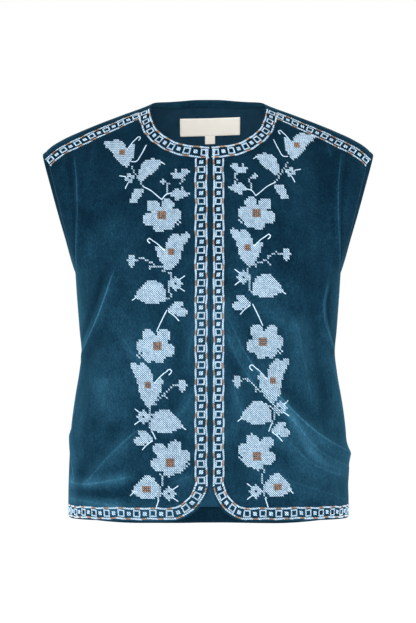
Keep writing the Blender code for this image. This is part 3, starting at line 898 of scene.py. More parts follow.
# %% [markdown]
# ## Sewing the two fronts and the back
# The fronts are made from the same function with the side turned round. The measured width and
# height of every point on the cut is kept as the panel's UV map, so that the lining's weave stays
# even over the folds. Where the topstitching will lie, the velvet is drawn in by 0.6 mm.

# %% The fronts
TOPSTITCH_DEPTH = 0.0006
TOPSTITCH_HALF_WIDTH = 0.0011
SHOULDER_STEP = 0.0012  # the fronts stop this far short of the shoulder seam, in radians


def flat_of(points):
    """A place on the flat cut for each point of a sheet, measured along its rows and columns."""
    run = run_from_edges(points)
    return np.stack([run["left"], run["low"]], -1)


def sunk_topstitch(distance, active):
    """How far the topstitching draws the velvet in, at a distance from the armhole edge."""
    off = (distance - TOPSTITCH_INSET) / TOPSTITCH_HALF_WIDTH
    return -TOPSTITCH_DEPTH * np.exp(-(off**2)) * active


def make_front(name, side, node):
    """One front, in the place of its plain solid."""
    shares = front_shares()
    bottom, top = front_bottom(shares), front_top(shares)
    top = top - SHOULDER_STEP * (shares >= NECK_SHARE)
    climbs = climb_rows(bottom, top, *FRONT_ROWS)
    shares = np.broadcast_to(shares, climbs.shape)
    plain = surface(False, shares, climbs)
    run = run_from_edges(plain)
    edge = np.minimum.reduce([run["left"], run["right"], run["low"], run["high"]])
    sunk = sunk_topstitch(run["right"], climbs > 0)
    outer, nap_and_painted_light = cloth(side, False, shares, climbs, sunk - rounded_in(edge))
    inner, _ = cloth(side, False, shares, climbs, -CLOTH + 0.5 * rounded_in(edge))
    made = wall(name, outer, inner, (VELVET, LINING), flat_of(plain), side < 0, nap_and_painted_light)
    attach(made, "root")
    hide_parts(node)
    print(name, len(made.data.polygons), "faces")
    return made


right_front = make_front("right_front", -1, "front_right")
left_front = make_front("left_front", 1, "front_left")


# %% The back
def both_halves(half, shares, *rest):
    """Joins the wearer's left half of the back to the right half, mirrored in its columns."""
    left = half(1, shares, *rest)
    right = half(-1, shares[..., ::-1], *(part[..., ::-1] for part in rest))
    return [np.concatenate([a, b[:, 1:]], axis=1) for a, b in zip(left, right)]


def make_back(name, node):
    """The whole back, in the place of its plain solid."""
    shares = back_shares()
    climbs = climb_rows(back_bottom(shares), back_top(shares), *BACK_ROWS)
    shares = np.broadcast_to(shares, climbs.shape)
    run = run_from_edges(surface(True, shares, climbs))
    edge = np.minimum.reduce([run["left"], run["low"], run["high"]])
    sunk = sunk_topstitch(run["left"], climbs > 0)

    def half(side, shares, climbs, edge, sunk):
        outer, nap_and_painted_light = cloth(side, True, shares, climbs, sunk - rounded_in(edge))
        inner, _ = cloth(side, True, shares, climbs, -CLOTH + 0.5 * rounded_in(edge))
        plain = surface(True, shares, climbs) * (side, 1, 1)
        return outer, inner, plain, nap_and_painted_light["painted_light"], nap_and_painted_light["beside"], nap_and_painted_light["bright"]

    outer, inner, plain, *nap_and_painted_light = both_halves(half, shares, climbs, edge, sunk)
    nap_and_painted_light = dict(zip(("painted_light", "beside", "bright"), nap_and_painted_light))
    made = wall(name, outer, inner, (VELVET, LINING), flat_of(plain), False, nap_and_painted_light)
    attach(made, "root")
    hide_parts(node)
    print(name, len(made.data.polygons), "faces")
    return made


back_panel = make_back("back_panel", "back")

# %% [markdown]
# ## Inside the back
# Through the neck you look onto the inside of the back: a narrow turned edge, and below it the
# label with its size tab. Between the rounded front corners the turned-up hem shows. They are thin
# walls that lie on the lining, made with the same function as the panels.

# %% Turned edges inside the back
TRIM = 0.0010  # how thick the inner pieces are
LAY_GAP = 0.0004  # from the lining to their outer face
INSIDE = -(CLOTH + LAY_GAP)
NECK_FACING_DEPTH = 0.008
HEM_FACING_DEPTH = 0.021


def lay_inside(name, node, finish, sheet_at, painted_light=0.0):
    """A thin wall on the inside of the back, from a function that gives its points at a lift.
    The last argument is how much lighter or darker the velvet is painted."""
    outer, inner = sheet_at(INSIDE), sheet_at(INSIDE - TRIM)
    made = wall(name, outer, inner, (finish,), flat_of(outer))
    values = made.data.attributes["painted_light"].data
    values.foreach_set("value", np.full(len(values), painted_light, np.float32))
    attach(made, "root")
    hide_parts(node)
    return made


def across_back(shares, climbs, lift):
    """Points on both halves of the back, from the columns of one half and its rows."""
    half = lambda side, shares, climbs: (cloth(side, True, shares, climbs, lift)[0],)
    return both_halves(half, np.broadcast_to(shares, climbs.shape), climbs)[0]


def turn_down(distance, share, turn):
    """The turn over the shoulder that takes the cloth down by about a distance from there."""
    return distance / (ridge_height(share) - UNDERARM) / np.cos(turn).clip(0.35, 1)


def neck_facing_at(lift):
    """The turned edge along the back neckline."""
    shares = back_shares()
    shares = shares[shares < NECK_SHARE * 0.985]
    top = back_top(shares) - 0.004
    drop = turn_down(NECK_FACING_DEPTH, shares, top)
    return across_back(shares, np.array([top - drop * (1 - k / 6) for k in range(7)]), lift)


def hem_facing_at(lift):
    """The turned-up hem of the back."""
    shares = back_shares()
    bottom = back_bottom(shares) + 0.0006
    return across_back(shares, np.array([bottom + HEM_FACING_DEPTH * k / 8 for k in range(9)]), lift)


neck_facing = lay_inside("neck_facing", "back_neck_facing", VELVET, neck_facing_at)
# The hem facing is painted darker than the outer velvet.
hem_facing = lay_inside("hem_facing", "back_hem_facing", VELVET, hem_facing_at, -0.20)
print("turned edges:", neck_facing.name, hem_facing.name)

# %% Label and size tab
LABEL_WIDTH, LABEL_HEIGHT, LABEL_DROP = 0.087, 0.028, 0.0325
TAB_WIDTH, TAB_HEIGHT = 0.014, 0.012
TAB_DROP = LABEL_DROP + LABEL_HEIGHT + 0.0006
LABEL_SHIFT = 0.003  # towards the wearer's left
LABEL_SLOPE = 0.03  # and slightly askew


def back_height(drop):
    """The height of a point that lies this far below the neckline, along the middle back."""
    line = surface(True, np.zeros(200), np.linspace(0, BACK_NECK_TURN, 200))
    below = np.cumsum(np.linalg.norm(np.diff(line, axis=0), axis=1)[::-1])[::-1]
    return np.interp(drop, below[::-1], line[:-1, 2][::-1])


def inside_place(across, drop, lift):
    """Points inside the back, by how far they lie to the wearer's left and below the neckline."""
    out = LABEL_SHIFT + across
    share = np.abs(out) / GIRTH_SCALE
    height = back_height(drop - LABEL_SLOPE * across)
    climb = np.arcsin((height - UNDERARM) / (ridge_height(share) - UNDERARM))
    left, _ = cloth(1, True, share, climb, lift)
    right, _ = cloth(-1, True, share, climb, lift)
    return np.where((out >= 0)[..., None], left, right)


def label_at(width, drop, height):
    """A label of this size as a function that gives its points at a lift."""
    across, down = np.meshgrid(np.linspace(0.5, -0.5, 41) * width, np.linspace(1, 0, 15) * height)
    return lambda lift: inside_place(across, drop + down, lift + LAY_GAP)


label_points = label_at(LABEL_WIDTH, LABEL_DROP, LABEL_HEIGHT)
neck_label = lay_inside("neck_label_cloth", "neck_label", LABEL, label_points)
tab_points = label_at(TAB_WIDTH, TAB_DROP, TAB_HEIGHT)
size_tab = lay_inside("size_tab_cloth", "size_label", LABEL, tab_points)
print("labels:", neck_label.name, size_tab.name)

# %% [markdown]
# ## One cross-stitch, many times
# A cross-stitch is two short threads over the corners of a square, the second on top of the first.
# Geometry Nodes are made for this: the tree bends two threads of the right thickness, puts them on
# every point that it is given, turned to the cloth there, and makes the result real. The same tree
# with a single straight leg makes a plain running stitch.


# %% The stitch tree
THREAD_SIDES, THREAD_BENDS = 5, 4


def new_modifier_tree(name, inputs):
    """A tree that turns points into stitches, and its input and output nodes."""
    tree = bpy.data.node_groups.new(name, "GeometryNodeTree")
    tree.is_modifier = True
    tree.interface.new_socket("Points", in_out="INPUT", socket_type="NodeSocketGeometry")
    add_inputs(tree, inputs)
    tree.interface.new_socket("Stitches", in_out="OUTPUT", socket_type="NodeSocketGeometry")
    return tree, tree.nodes.new("NodeGroupInput"), tree.nodes.new("NodeGroupOutput")


def corner(tree, x, y, z):
    """A point from three values, 0 where there is none."""
    made = add_node(tree, "ShaderNodeCombineXYZ")
    for socket, value in (("X", x), ("Y", y), ("Z", z)):
        if value is not None:
            tree.links.new(value, made.inputs[socket])
    return made.outputs["Vector"]


def kept(tree, name, geometry, value, domain="POINT"):
    """The geometry with a value kept on it under a name, a plain number or one from a node."""
    made = add_node(
        tree, "GeometryNodeStoreNamedAttribute", {"Name": name}, data_type="FLOAT", domain=domain
    )
    tree.links.new(geometry, made.inputs["Geometry"])
    if isinstance(value, float):
        made.inputs["Value"].default_value = value
    else:
        tree.links.new(value, made.inputs["Value"])
    return made.outputs["Geometry"]


def thread_leg(tree, start, top, end, thickness, layer):
    """One thread that rises out of the cloth, passes over and goes back in."""
    arc = add_node(tree, "GeometryNodeCurveQuadraticBezier", {"Resolution": THREAD_BENDS})
    for socket, value in (("Start", start), ("Middle", top), ("End", end)):
        tree.links.new(value, arc.inputs[socket])
    ring = add_node(tree, "GeometryNodeCurvePrimitiveCircle", {"Resolution": THREAD_SIDES})
    tree.links.new(scaled(tree, thickness, 0.5), ring.inputs["Radius"])
    tube = add_node(tree, "GeometryNodeCurveToMesh", {"Fill Caps": True})
    for name, curve, socket in (("along", arc, "Curve"), ("around", ring, "Profile Curve")):
        run = add_node(tree, "GeometryNodeSplineParameter")
        marked = kept(tree, name, curve.outputs["Curve"], run.outputs["Factor"])
        tree.links.new(marked, tube.inputs[socket])
    return kept(tree, "layer", tube.outputs["Mesh"], layer)


def make_stitch_tree(name, crossed):
    """The tree of one kind of stitch, with two crossed legs or a single one."""
    tree, given, result = new_modifier_tree(
        name,
        {
            "Length": ("NodeSocketFloat", 0.0029),
            "Width": ("NodeSocketFloat", 0.0029),
            "Thickness": ("NodeSocketFloat", 0.0010),
            "Height": ("NodeSocketFloat", 0.0008),
            "Thread": ("NodeSocketMaterial", None),
            "Seed": ("NodeSocketInt", 1),
        },
    )
    links = tree.links
    out = given.outputs
    x, y = scaled(tree, out["Length"], 0.5), scaled(tree, out["Width"], 0.5)
    minus_x, minus_y = scaled(tree, out["Length"], -0.5), scaled(tree, out["Width"], -0.5)
    sunk = scaled(tree, out["Thickness"], -0.35)
    low, high = scaled(tree, out["Height"], 1.2), scaled(tree, out["Height"], 2.6)
    pieces = add_node(tree, "GeometryNodeJoinGeometry")
    thin, thick = scaled(tree, out["Thickness"], 0.8), scaled(tree, out["Thickness"], 1.15)
    under = (corner(tree, minus_x, minus_y, sunk), corner(tree, None, None, low), corner(tree, x, y, sunk))
    over = (corner(tree, x, minus_y, sunk), corner(tree, None, None, high), corner(tree, minus_x, y, sunk))
    plain = (corner(tree, minus_x, None, sunk), corner(tree, None, None, low), corner(tree, x, None, sunk))
    # Layer 0 marks the under leg, which the thread's finish paints darker as shade; the top leg is 1 and a
    # single leg 0.8.
    legs = ((under, thin, 0.0), (over, thick, 1.0)) if crossed else ((plain, out["Thickness"], 0.8),)
    for (start, top, end), thickness, layer in legs:
        links.new(thread_leg(tree, start, top, end, thickness, layer), pieces.inputs["Geometry"])

    turn = add_node(tree, "GeometryNodeInputNamedAttribute", {"Name": "turn"}, data_type="FLOAT_VECTOR")
    as_rotation = add_node(tree, "FunctionNodeEulerToRotation")
    size = add_node(tree, "FunctionNodeRandomValue", {2: 0.94, 3: 1.05}, data_type="FLOAT")
    place = add_node(tree, "GeometryNodeInstanceOnPoints")
    shade = add_node(tree, "FunctionNodeRandomValue", {2: 0.0, 3: 1.0}, data_type="FLOAT")
    real = add_node(tree, "GeometryNodeRealizeInstances")
    smooth = add_node(tree, "GeometryNodeSetShadeSmooth")
    paint = add_node(tree, "GeometryNodeSetMaterial")
    links.new(turn.outputs["Attribute"], as_rotation.inputs["Euler"])
    links.new(out["Seed"], size.inputs["Seed"])
    links.new(out["Seed"], shade.inputs["Seed"])
    links.new(out["Points"], place.inputs["Points"])
    links.new(pieces.outputs["Geometry"], place.inputs["Instance"])
    links.new(as_rotation.outputs["Rotation"], place.inputs["Rotation"])
    links.new(size.outputs[1], place.inputs["Scale"])
    shaded = kept(tree, "shade", place.outputs["Instances"], shade.outputs[1], "INSTANCE")
    links.new(out["Thread"], paint.inputs["Material"])
    links.new(through(tree, shaded, real, smooth, paint), result.inputs["Stitches"])
    return tree


CROSS_TREE = make_stitch_tree("cross_stitch", True)
RUNNING_TREE = make_stitch_tree("running_stitch", False)


# %% Laying stitches on the cloth
def frame_at(side, back, share, climb, along):
    """Points on the cloth with a direction along it, the one across, and the one away from it."""
    step = 2e-3
    share = np.clip(share, step, 1 - step)
    here, _ = cloth(side, back, share, climb)
    around = cloth(side, back, share + step, climb)[0] - cloth(side, back, share - step, climb)[0]
    up = cloth(side, back, share, climb + step)[0] - cloth(side, back, share, climb - step)[0]
    away = unit(np.cross(around, up)) * side * (-1 if back else 1)
    flat = unit(along - away * (along * away).sum(-1, keepdims=True))
    return here, flat, np.cross(away, flat), away


def sew(name, tree, places, axes, sizes, thread, seed):
    """Puts one stitch on each place. axes are the stitch's own three directions there."""
    mesh = bpy.data.meshes.new(name + "_places")
    mesh.from_pydata(places.tolist(), [], [])
    turns = [Matrix(np.stack(three, -1).tolist()).to_euler() for three in zip(*axes)]
    data = np.array([tuple(turn) for turn in turns], np.float32)
    mesh.attributes.new("turn", "FLOAT_VECTOR", "POINT").data.foreach_set("vector", data.ravel())
    made = bpy.data.objects.new(name, mesh)
    bpy.context.scene.collection.objects.link(made)
    modifier = made.modifiers.new("stitches", "NODES")
    modifier.node_group = tree
    values = dict(sizes, Thread=thread, Seed=seed)
    for item in tree.interface.items_tree:
        if item.item_type == "SOCKET" and item.name in values:
            modifier[item.identifier] = values[item.name]
    made.update_tag()
    graph = bpy.context.evaluated_depsgraph_get()
    plain = bpy.data.meshes.new_from_object(made.evaluated_get(graph), depsgraph=graph)
    plain.name = name
    made.modifiers.clear()
    made.data = plain
    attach(made, "root")
    print(name, len(places), "stitches,", sum(len(p.vertices) - 2 for p in plain.polygons), "triangles")
    return made


# %% [markdown]
# ## The flat measure of a front
# Cross-stitch is worked on an even grid, so the flowers have to be placed on the flat cut and not
# in the air. For each level of a front this table holds how far along the cloth every share lies
# from the front edge. Reading it backwards turns a place on the cut into a place on the form.


# %% From the cut to the cloth
LEVELS = np.linspace(-0.585, -0.02, 190)
SHARES = np.linspace(0, 1, 260)
FLOWER_SHARE = 0.25  # the flowers climb about here


def climb_at(share, height):
    """The climb at which a column of the front reaches a height."""
    over = ((height - UNDERARM) / (ridge_height(share) - UNDERARM)).clip(0, 0.999)
    return np.where(height < UNDERARM, height - UNDERARM, np.arcsin(over))


def measure_front():
    """Run along the cloth and distance out, for each level and share, and the height on the cut."""
    share, level = np.meshgrid(SHARES, LEVELS)
    points = surface(False, share, climb_at(share, level))
    steps = np.linalg.norm(np.diff(points, axis=1), axis=-1)
    run = np.concatenate([np.zeros((len(LEVELS), 1)), steps.cumsum(1)], 1)
    column = np.searchsorted(SHARES, FLOWER_SHARE)
    rise = np.linalg.norm(np.diff(points[:, column], axis=0), axis=-1)
    return run, points[..., 0], np.concatenate([[0], rise.cumsum()])


RUN, OUT, RISE = measure_front()


def read_level(table, height, share):
    """Reads a table of levels and shares at one height and share."""
    at = np.interp(height, LEVELS, np.arange(len(LEVELS)))
    k = min(int(at), len(LEVELS) - 2)
    row = table[k] * (1 - (at - k)) + table[k + 1] * (at - k)
    return row if share is None else float(np.interp(share, SHARES, row))


def cut_place(x, z):
    """Where a point at this distance out and height lies on the cut, as (across, up)."""
    share = float(np.interp(x, read_level(OUT, z, None), SHARES))
    return read_level(RUN, z, share), float(np.interp(z, LEVELS, RISE))


def cloth_place(across, up):
    """The share and the climb of places on the cut."""
    height = np.interp(up, RISE, LEVELS)
    levels = (read_level(RUN, z, None) for z in height)
    share = np.array([np.interp(a, level, SHARES) for a, level in zip(across, levels)])
    return share, climb_at(share, height)


print(f"the cut is {RISE[-1] * 1000:.0f} mm tall where the flowers climb")

# %% [markdown]
# ## Charts for the flowers
# A chart says which squares of the grid get a cross. Drawing it square by square would be slow and
# stiff, so each motif is a small set of shapes in millimetres: petals are turned ellipses, leaves
# and buds are leaf shapes with their own belly. The grid itself then gives them their stepped
# edges. Tails, arms and tendrils are thin lines, worked in back stitch along the line.

# %% Shapes on the grid
PITCH = 0.0029  # one cross
BACK_STITCH = 0.0033  # one stitch along a line


def oval(u, v, centre, long, wide, angle=0.0):
    """Inside a turned ellipse. Millimetres and degrees."""
    c, s = math.cos(math.radians(angle)), math.sin(math.radians(angle))
    du, dv = u - centre[0], v - centre[1]
    return ((du * c + dv * s) / long) ** 2 + ((dv * c - du * s) / wide) ** 2 <= 1


def leaf_shape(u, v, base, tip, left, right, belly=0.45, blunt_base=0.5, blunt_tip=1.0):
    """Inside a leaf from base to tip, with its own half width to the left and the right. Where it
    is widest is its belly, and a blunt end has a small number."""
    length = math.hypot(tip[0] - base[0], tip[1] - base[1])
    c, s = (tip[0] - base[0]) / length, (tip[1] - base[1]) / length
    t = ((u - base[0]) * c + (v - base[1]) * s) / length
    off = (v - base[1]) * c - (u - base[0]) * s
    inside = (t >= 0) & (t <= 1)
    t = t.clip(0, 1)
    rising = np.sin(math.pi / 2 * (t / belly).clip(0, 1)) ** blunt_base
    falling = np.sin(math.pi / 2 * ((1 - t) / (1 - belly)).clip(0, 1)) ** blunt_tip
    swell = np.where(t < belly, rising, falling)
    return inside & (off <= left * swell) & (off >= -right * swell)


def block(u, v, across, up, centre=(0, 0)):
    """Inside a rectangle, by its half sizes."""
    return (np.abs(u - centre[0]) <= across) & (np.abs(v - centre[1]) <= up)


def with_eyelet(mask, u, v, centre):
    """The mask with a ring of four crosses round the square nearest to a spot."""
    away = (u - centre[0]) ** 2 + (v - centre[1]) ** 2
    row, column = np.unravel_index(away.argmin(), away.shape)
    for a, b in ((0, 1), (0, -1), (1, 0), (-1, 0)):
        mask[row + a, column + b] = True
    mask[row, column] = False
    return mask


# %% The motifs, each as its crosses and its back-stitched lines
def flower(u, v):
    petals = oval(u, v, (0, -1), 13.5, 13.0)
    for centre, long, wide, angle in (
        ((-10.8, 11.8), 9.8, 9.0, 135),
        ((9.0, 13.0), 9.8, 8.6, 62),
        ((19.0, -0.5), 9.8, 9.0, 0),
        ((10.0, -13.0), 10.0, 9.4, -50),
        ((-2.0, -16.5), 9.6, 8.6, -80),
        ((-15.5, -7.5), 9.8, 9.0, 205),
    ):
        petals |= oval(u, v, centre, long, wide, angle)
    return with_eyelet(petals, u, v, (23.5, -11.6)), ()


def bud(u, v):
    body = leaf_shape(u, v, (1, -28), (-8, 27), 10.5, 13.0, 0.52, 0.9, 0.55)
    body |= leaf_shape(u, v, (-2, 0), (-24, 27), 6.0, 8.0, 0.55, 0.5, 0.55)
    body |= leaf_shape(u, v, (1, -29), (19, 8.5), 6.5, 6.0, 0.62, 0.9, 0.5)
    tendril = ((9, 2), (15, 8), (20.5, 13), (26, 16.5), (29.5, 19.5), (33, 16.5), (29, 12.5))
    return body, (tendril,)


def leaf(u, v):
    body = leaf_shape(u, v, (-22.5, -8), (22, -7.5), 24.5, 8.0, 0.42, 0.45, 0.85)
    return body, (((19, -7), (25.5, -11.5)),)


def high_leaf(u, v):
    body = leaf_shape(u, v, (-16, -18), (15, 13), 19.0, 3.0, 0.58, 0.75, 0.6)
    return body, (((13, 13), (19.5, 8.5)),)


def bottom_leaf(u, v):
    body = leaf_shape(u, v, (19.5, -3), (-18, -4), 10.0, 21.5, 0.44, 0.45, 0.85)
    return body, (((-15, -3), (-21, -9)),)


def diamond(u, v):
    ring = (np.abs(u) + np.abs(v) <= 9.0) & ~block(u, v, 1.4, 1.4)
    return ring, (((4.5, 5), (12, 10.5)), ((4.5, -5), (12, -10.5)))


def three_lobes(u, v):
    body = oval(u, v, (-2.5, 6.0), 11.0, 5.6, 38) | oval(u, v, (2.0, -1.0), 12.5, 5.6, -8)
    return body & ~block(u, v, 1.5, 1.5, (11.6, 5.8)), (((-12, -1), (-5, -6), (1.5, -13)),)


def folded_leaf(u, v):
    slanted = u - 0.35 * v
    body = block(slanted, v, 7.4, 5.6, (0, 4.0)) | block(slanted, v, 5.6, 4.0, (-1.5, -6.5))
    return body, ()


def small_lobe(u, v):
    return (np.abs(u) * 1.15 + np.abs(v) <= 9.4) & (v < 6.5), ()


def curl_end(u, v):
    return block(u, v, 3.2, 1.5) | block(u, v, 1.5, 3.2), ()


def jagged_sprig(u, v):
    body = leaf_shape(u, v, (1, -8), (-13, 1), 3.6, 4.2, 0.5, 0.5, 0.9)
    body |= leaf_shape(u, v, (0, -8), (8, 9), 4.6, 4.2, 0.5, 0.5, 0.7)
    body |= leaf_shape(u, v, (-3, -5), (-7, 8), 2.0, 2.0, 0.5, 0.6, 0.8)
    body |= leaf_shape(u, v, (2, -2), (12.5, 4), 2.4, 2.4, 0.5, 0.6, 0.8)
    return body, ()


def pointed_sprig(u, v):
    body = leaf_shape(u, v, (-13, -1), (14, -1), 6.5, 6.5, 0.42, 0.6, 1.2)
    body |= leaf_shape(u, v, (-4, -2), (-4, 9), 2.4, 2.4, 0.5, 0.6, 0.9)
    body |= leaf_shape(u, v, (2, 0), (3, 9), 2.0, 2.0, 0.5, 0.6, 0.9)
    return body | leaf_shape(u, v, (-2, 0), (-5, -11), 3.4, 3.4, 0.5, 0.6, 0.8), ()


MOTIF_SHAPES = (
    flower, bud, leaf, high_leaf, bottom_leaf, diamond,
    three_lobes, folded_leaf, small_lobe, curl_end, jagged_sprig, pointed_sprig,
)
CHARTS = {shape.__name__: shape for shape in MOTIF_SHAPES}
print("charts:", ", ".join(CHARTS))

# %% Where the motifs lie on the wearer's right front
# Distance out from the middle and height, in metres. Flip 1 is as drawn, -1 turned left to right,
# turn is in degrees and tall stretches the chart upwards. Copper is the columns and rows of the
# copper block in the middle, and its rise above the middle in millimetres.
MOTIF_COLUMNS = ("chart", "out", "height", "flip", "turn", "tall", "copper")
MOTIFS = (
    ("bud", 0.1185, -0.0685, 1, 17, 0.94, (3, 3, 0)),
    ("high_leaf", 0.0765, -0.095, 1, 0, 1.0, None),
    ("diamond", 0.1080, -0.1050, -1, -28, 1.0, None),
    ("folded_leaf", 0.0984, -0.1310, 1, 0, 1.0, None),
    ("jagged_sprig", 0.0378, -0.0995, 1, 0, 1.0, None),
    ("pointed_sprig", 0.0375, -0.1265, 1, 0, 1.0, None),
    ("curl_end", 0.0620, -0.1105, 1, 0, 1.0, None),
    ("flower", 0.0660, -0.1570, 1, 0, 0.95, (4, 4, 0)),
    ("bud", 0.0497, -0.2070, -1, 0, 0.95, (3, 3, 0)),
    ("small_lobe", 0.1035, -0.2180, 1, 0, 1.0, None),
    ("diamond", 0.0445, -0.2510, 1, 0, 1.0, None),
    ("leaf", 0.0780, -0.2610, -1, 0, 1.0, None),
    ("three_lobes", 0.0405, -0.2880, 1, 0, 1.0, None),
    ("flower", 0.0715, -0.3350, -1, -5, 1.0, (4, 4, 0)),
    ("bud", 0.0815, -0.3910, 1, 0, 1.14, (3, 3, 0)),
    ("small_lobe", 0.0350, -0.3910, -1, 0, 1.0, None),
    ("diamond", 0.0870, -0.4330, -1, 0, 1.0, None),
    ("leaf", 0.0560, -0.4395, 1, 0, 1.0, None),
    ("three_lobes", 0.0880, -0.4640, -1, 0, 1.0, None),
    ("flower", 0.0545, -0.4865, 1, 6, 1.0, (4, 4, -5.8)),
    ("bottom_leaf", 0.0855, -0.5300, 1, 0, 1.0, (4, 3, 0)),
    ("diamond", 0.0545, -0.5380, 1, 0, 1.0, None),
)
STEMS = (
    ((0.105, -0.091), (0.102, -0.097), (0.098, -0.104), (0.093, -0.112), (0.089, -0.118)),
    ((0.057, -0.127), (0.0555, -0.121), (0.054, -0.115), (0.058, -0.111), (0.062, -0.111)),
    ((0.037, -0.114), (0.033, -0.110), (0.036, -0.106)),
    ((0.052, -0.235), (0.049, -0.241), (0.053, -0.248), (0.052, -0.259), (0.051, -0.269), (0.056, -0.272)),
    ((0.097, -0.218), (0.090, -0.215), (0.082, -0.219), (0.075, -0.225), (0.068, -0.229), (0.061, -0.227)),
    ((0.074, -0.225), (0.080, -0.231)),
    ((0.058, -0.232), (0.062, -0.234)),
    ((0.078, -0.419), (0.080, -0.423), (0.077, -0.429), (0.081, -0.438), (0.080, -0.446), (0.076, -0.453)),
    ((0.072, -0.407), (0.067, -0.409), (0.060, -0.403), (0.054, -0.395), (0.047, -0.390), (0.042, -0.390)),
    ((0.061, -0.404), (0.057, -0.407)),
    ((0.075, -0.415), (0.071, -0.416)),
    ((0.064, -0.511), (0.062, -0.519), (0.064, -0.529), (0.066, -0.537), (0.067, -0.546)),
)
LINES = (
    ((0.089, -0.118), (0.079, -0.123), (0.068, -0.132), (0.063, -0.136)),
    ((0.063, -0.136), (0.057, -0.129), (0.049, -0.127)),
    ((0.105, -0.083), (0.099, -0.083), (0.093, -0.075), (0.085, -0.060)),
    ((0.056, -0.287), (0.064, -0.303), (0.070, -0.316)),
    ((0.076, -0.453), (0.071, -0.463)),
    ((0.067, -0.546), (0.071, -0.558)),
)
# The left front is the mirror image, moved by a few millimetres as it was worked and as it hangs.
SHIFT_COLUMNS = ("height", "out", "up")
LEFT_SHIFTS = (
    (-0.560, 0.0110, 0.002),
    (-0.527, 0.0115, 0.003),
    (-0.491, 0.0130, 0.008),
    (-0.437, 0.0095, 0.011),
    (-0.389, 0.0060, 0.008),
    (-0.261, 0.0050, 0.008),
    (-0.157, 0.0020, 0.005),
    (-0.069, 0.0054, 0.008),
)
SHIFT = columns_of(SHIFT_COLUMNS, LEFT_SHIFTS)


# %% From the charts to places on the cut
def side_place(side, out, height):
    """The same place on the right front, or moved on the left one, on the cut."""
    lean = LEAN * max(0, 1 - out / 0.08) ** 2
    if side > 0:
        out = out + float(smooth_read(SHIFT["height"], SHIFT["out"], height))
        height = height + float(smooth_read(SHIFT["height"], SHIFT["up"], height))
    return cut_place(out - side * lean, height)


def chart_cells(side):
    """Every square of the grid that gets a cross, with its kind, and the back-stitched lines."""
    cells, lines = {}, []
    j, i = np.mgrid[-15:16, -15:16]
    for row in MOTIFS:
        motif = dict(zip(MOTIF_COLUMNS, row))
        across, up = side_place(side, motif["out"], motif["height"])
        i0, j0 = round(across / PITCH - 0.5), round(up / PITCH - 0.5)
        u, v = -i * PITCH * 1000 * motif["flip"], j * PITCH * 1000 / motif["tall"]
        c, s = math.cos(math.radians(motif["turn"])), math.sin(math.radians(motif["turn"]))
        mask, tails = CHARTS[motif["chart"]](u * c + v * s, v * c - u * s)
        for dj, di in zip(j[mask], i[mask]):
            cells[(i0 + int(di), j0 + int(dj))] = "blue"
        if motif["copper"]:
            wide, high, rise = motif["copper"]
            top = round(rise / 1000 / PITCH)
            for di in range(wide):
                for dj in range(high):
                    cells[(i0 + di - wide // 2, j0 + dj + top - high // 2)] = "copper"
        for tail in tails:
            turned = [(x * c - y * s, (x * s + y * c) * motif["tall"]) for x, y in tail]
            centre = ((i0 + 0.5) * PITCH, (j0 + 0.5) * PITCH)
            lines.append([(centre[0] - x * motif["flip"] / 1000, centre[1] + y / 1000) for x, y in turned])
    for stem in STEMS:
        points = [np.array(side_place(side, *place)) / PITCH - 0.5 for place in stem]
        for a, b in zip(points, points[1:]):
            steps = int(np.abs(b - a).max()) + 1
            for t in np.linspace(0, 1, steps + 1):
                i1, j1 = np.rint(a + (b - a) * t).astype(int)
                cells.setdefault((int(i1), int(j1)), "chain")
    lines += [[side_place(side, *place) for place in line] for line in LINES]
    return cells, lines


def back_stitches(lines):
    """The middles and directions of even stitches along lines on the cut."""
    middles, ways = [], []
    for line in lines:
        fine = smooth_line(line, 60)
        run = length_along(fine)
        count = max(1, round(run[-1] / BACK_STITCH))
        at = np.linspace(0, run[-1], count + 1)
        ends = np.stack([np.interp(at, run, fine[:, k]) for k in (0, 1)], -1)
        middles.append((ends[1:] + ends[:-1]) / 2)
        ways.append(ends[1:] - ends[:-1])
    return np.concatenate(middles), np.concatenate(ways)


# %% Working the flowers
CROSS_SIZES = {"Length": 0.0026, "Width": 0.0026, "Thickness": 0.00082, "Height": 0.0006}
KINDS = {
    "blue": (BLUE, CROSS_SIZES),
    "chain": (BLUE, dict(CROSS_SIZES, Length=0.0021, Width=0.0021, Thickness=0.0007)),
    "copper": (COPPER, dict(CROSS_SIZES, Length=0.0021, Width=0.0021, Thickness=0.0006)),
}
LINE_SIZES = {"Length": 0.0038, "Width": 0.001, "Thickness": 0.0015, "Height": 0.0007}
SIDES = (("right", -1), ("left", 1))
embroidery = {"right": [], "left": []}
for side_name, side in SIDES:
    cells, lines = chart_cells(side)
    for kind, (thread, sizes) in KINDS.items():
        chosen = np.array([cell for cell, its_kind in sorted(cells.items()) if its_kind == kind])
        share, climb = cloth_place((chosen[:, 0] + 0.5) * PITCH, (chosen[:, 1] + 0.5) * PITCH)
        across = np.tile((1.0, 0.0, 0.0), (len(chosen), 1))
        here, *axes = frame_at(side, False, share, climb, across)
        name = f"{side_name}_flowers_{kind}"
        embroidery[side_name].append(sew(name, CROSS_TREE, here, axes, sizes, thread, 3 + side))
    middles, ways = back_stitches(lines)
    share, climb = cloth_place(*middles.T)
    ahead = cloth_place(*(middles + ways / 4).T)
    along = cloth(side, False, *ahead)[0] - cloth(side, False, share, climb)[0]
    here, *axes = frame_at(side, False, share, climb, along)
    sewn = sew(f"{side_name}_lines", RUNNING_TREE, here, axes, LINE_SIZES, BLUE, 23 + side)
    embroidery[side_name].append(sewn)

# %% [markdown]
# ## The border
# The border is a ladder of squares between two rails. It follows the neckline, the front edge, the
# rounded corner and the hem, and runs along each shoulder. Each of these runs is a path on the
# cloth. A stitch is found by walking from the cut edge straight across the cloth by its distance,
# so the band keeps its width on the curves and the squares turn with them.

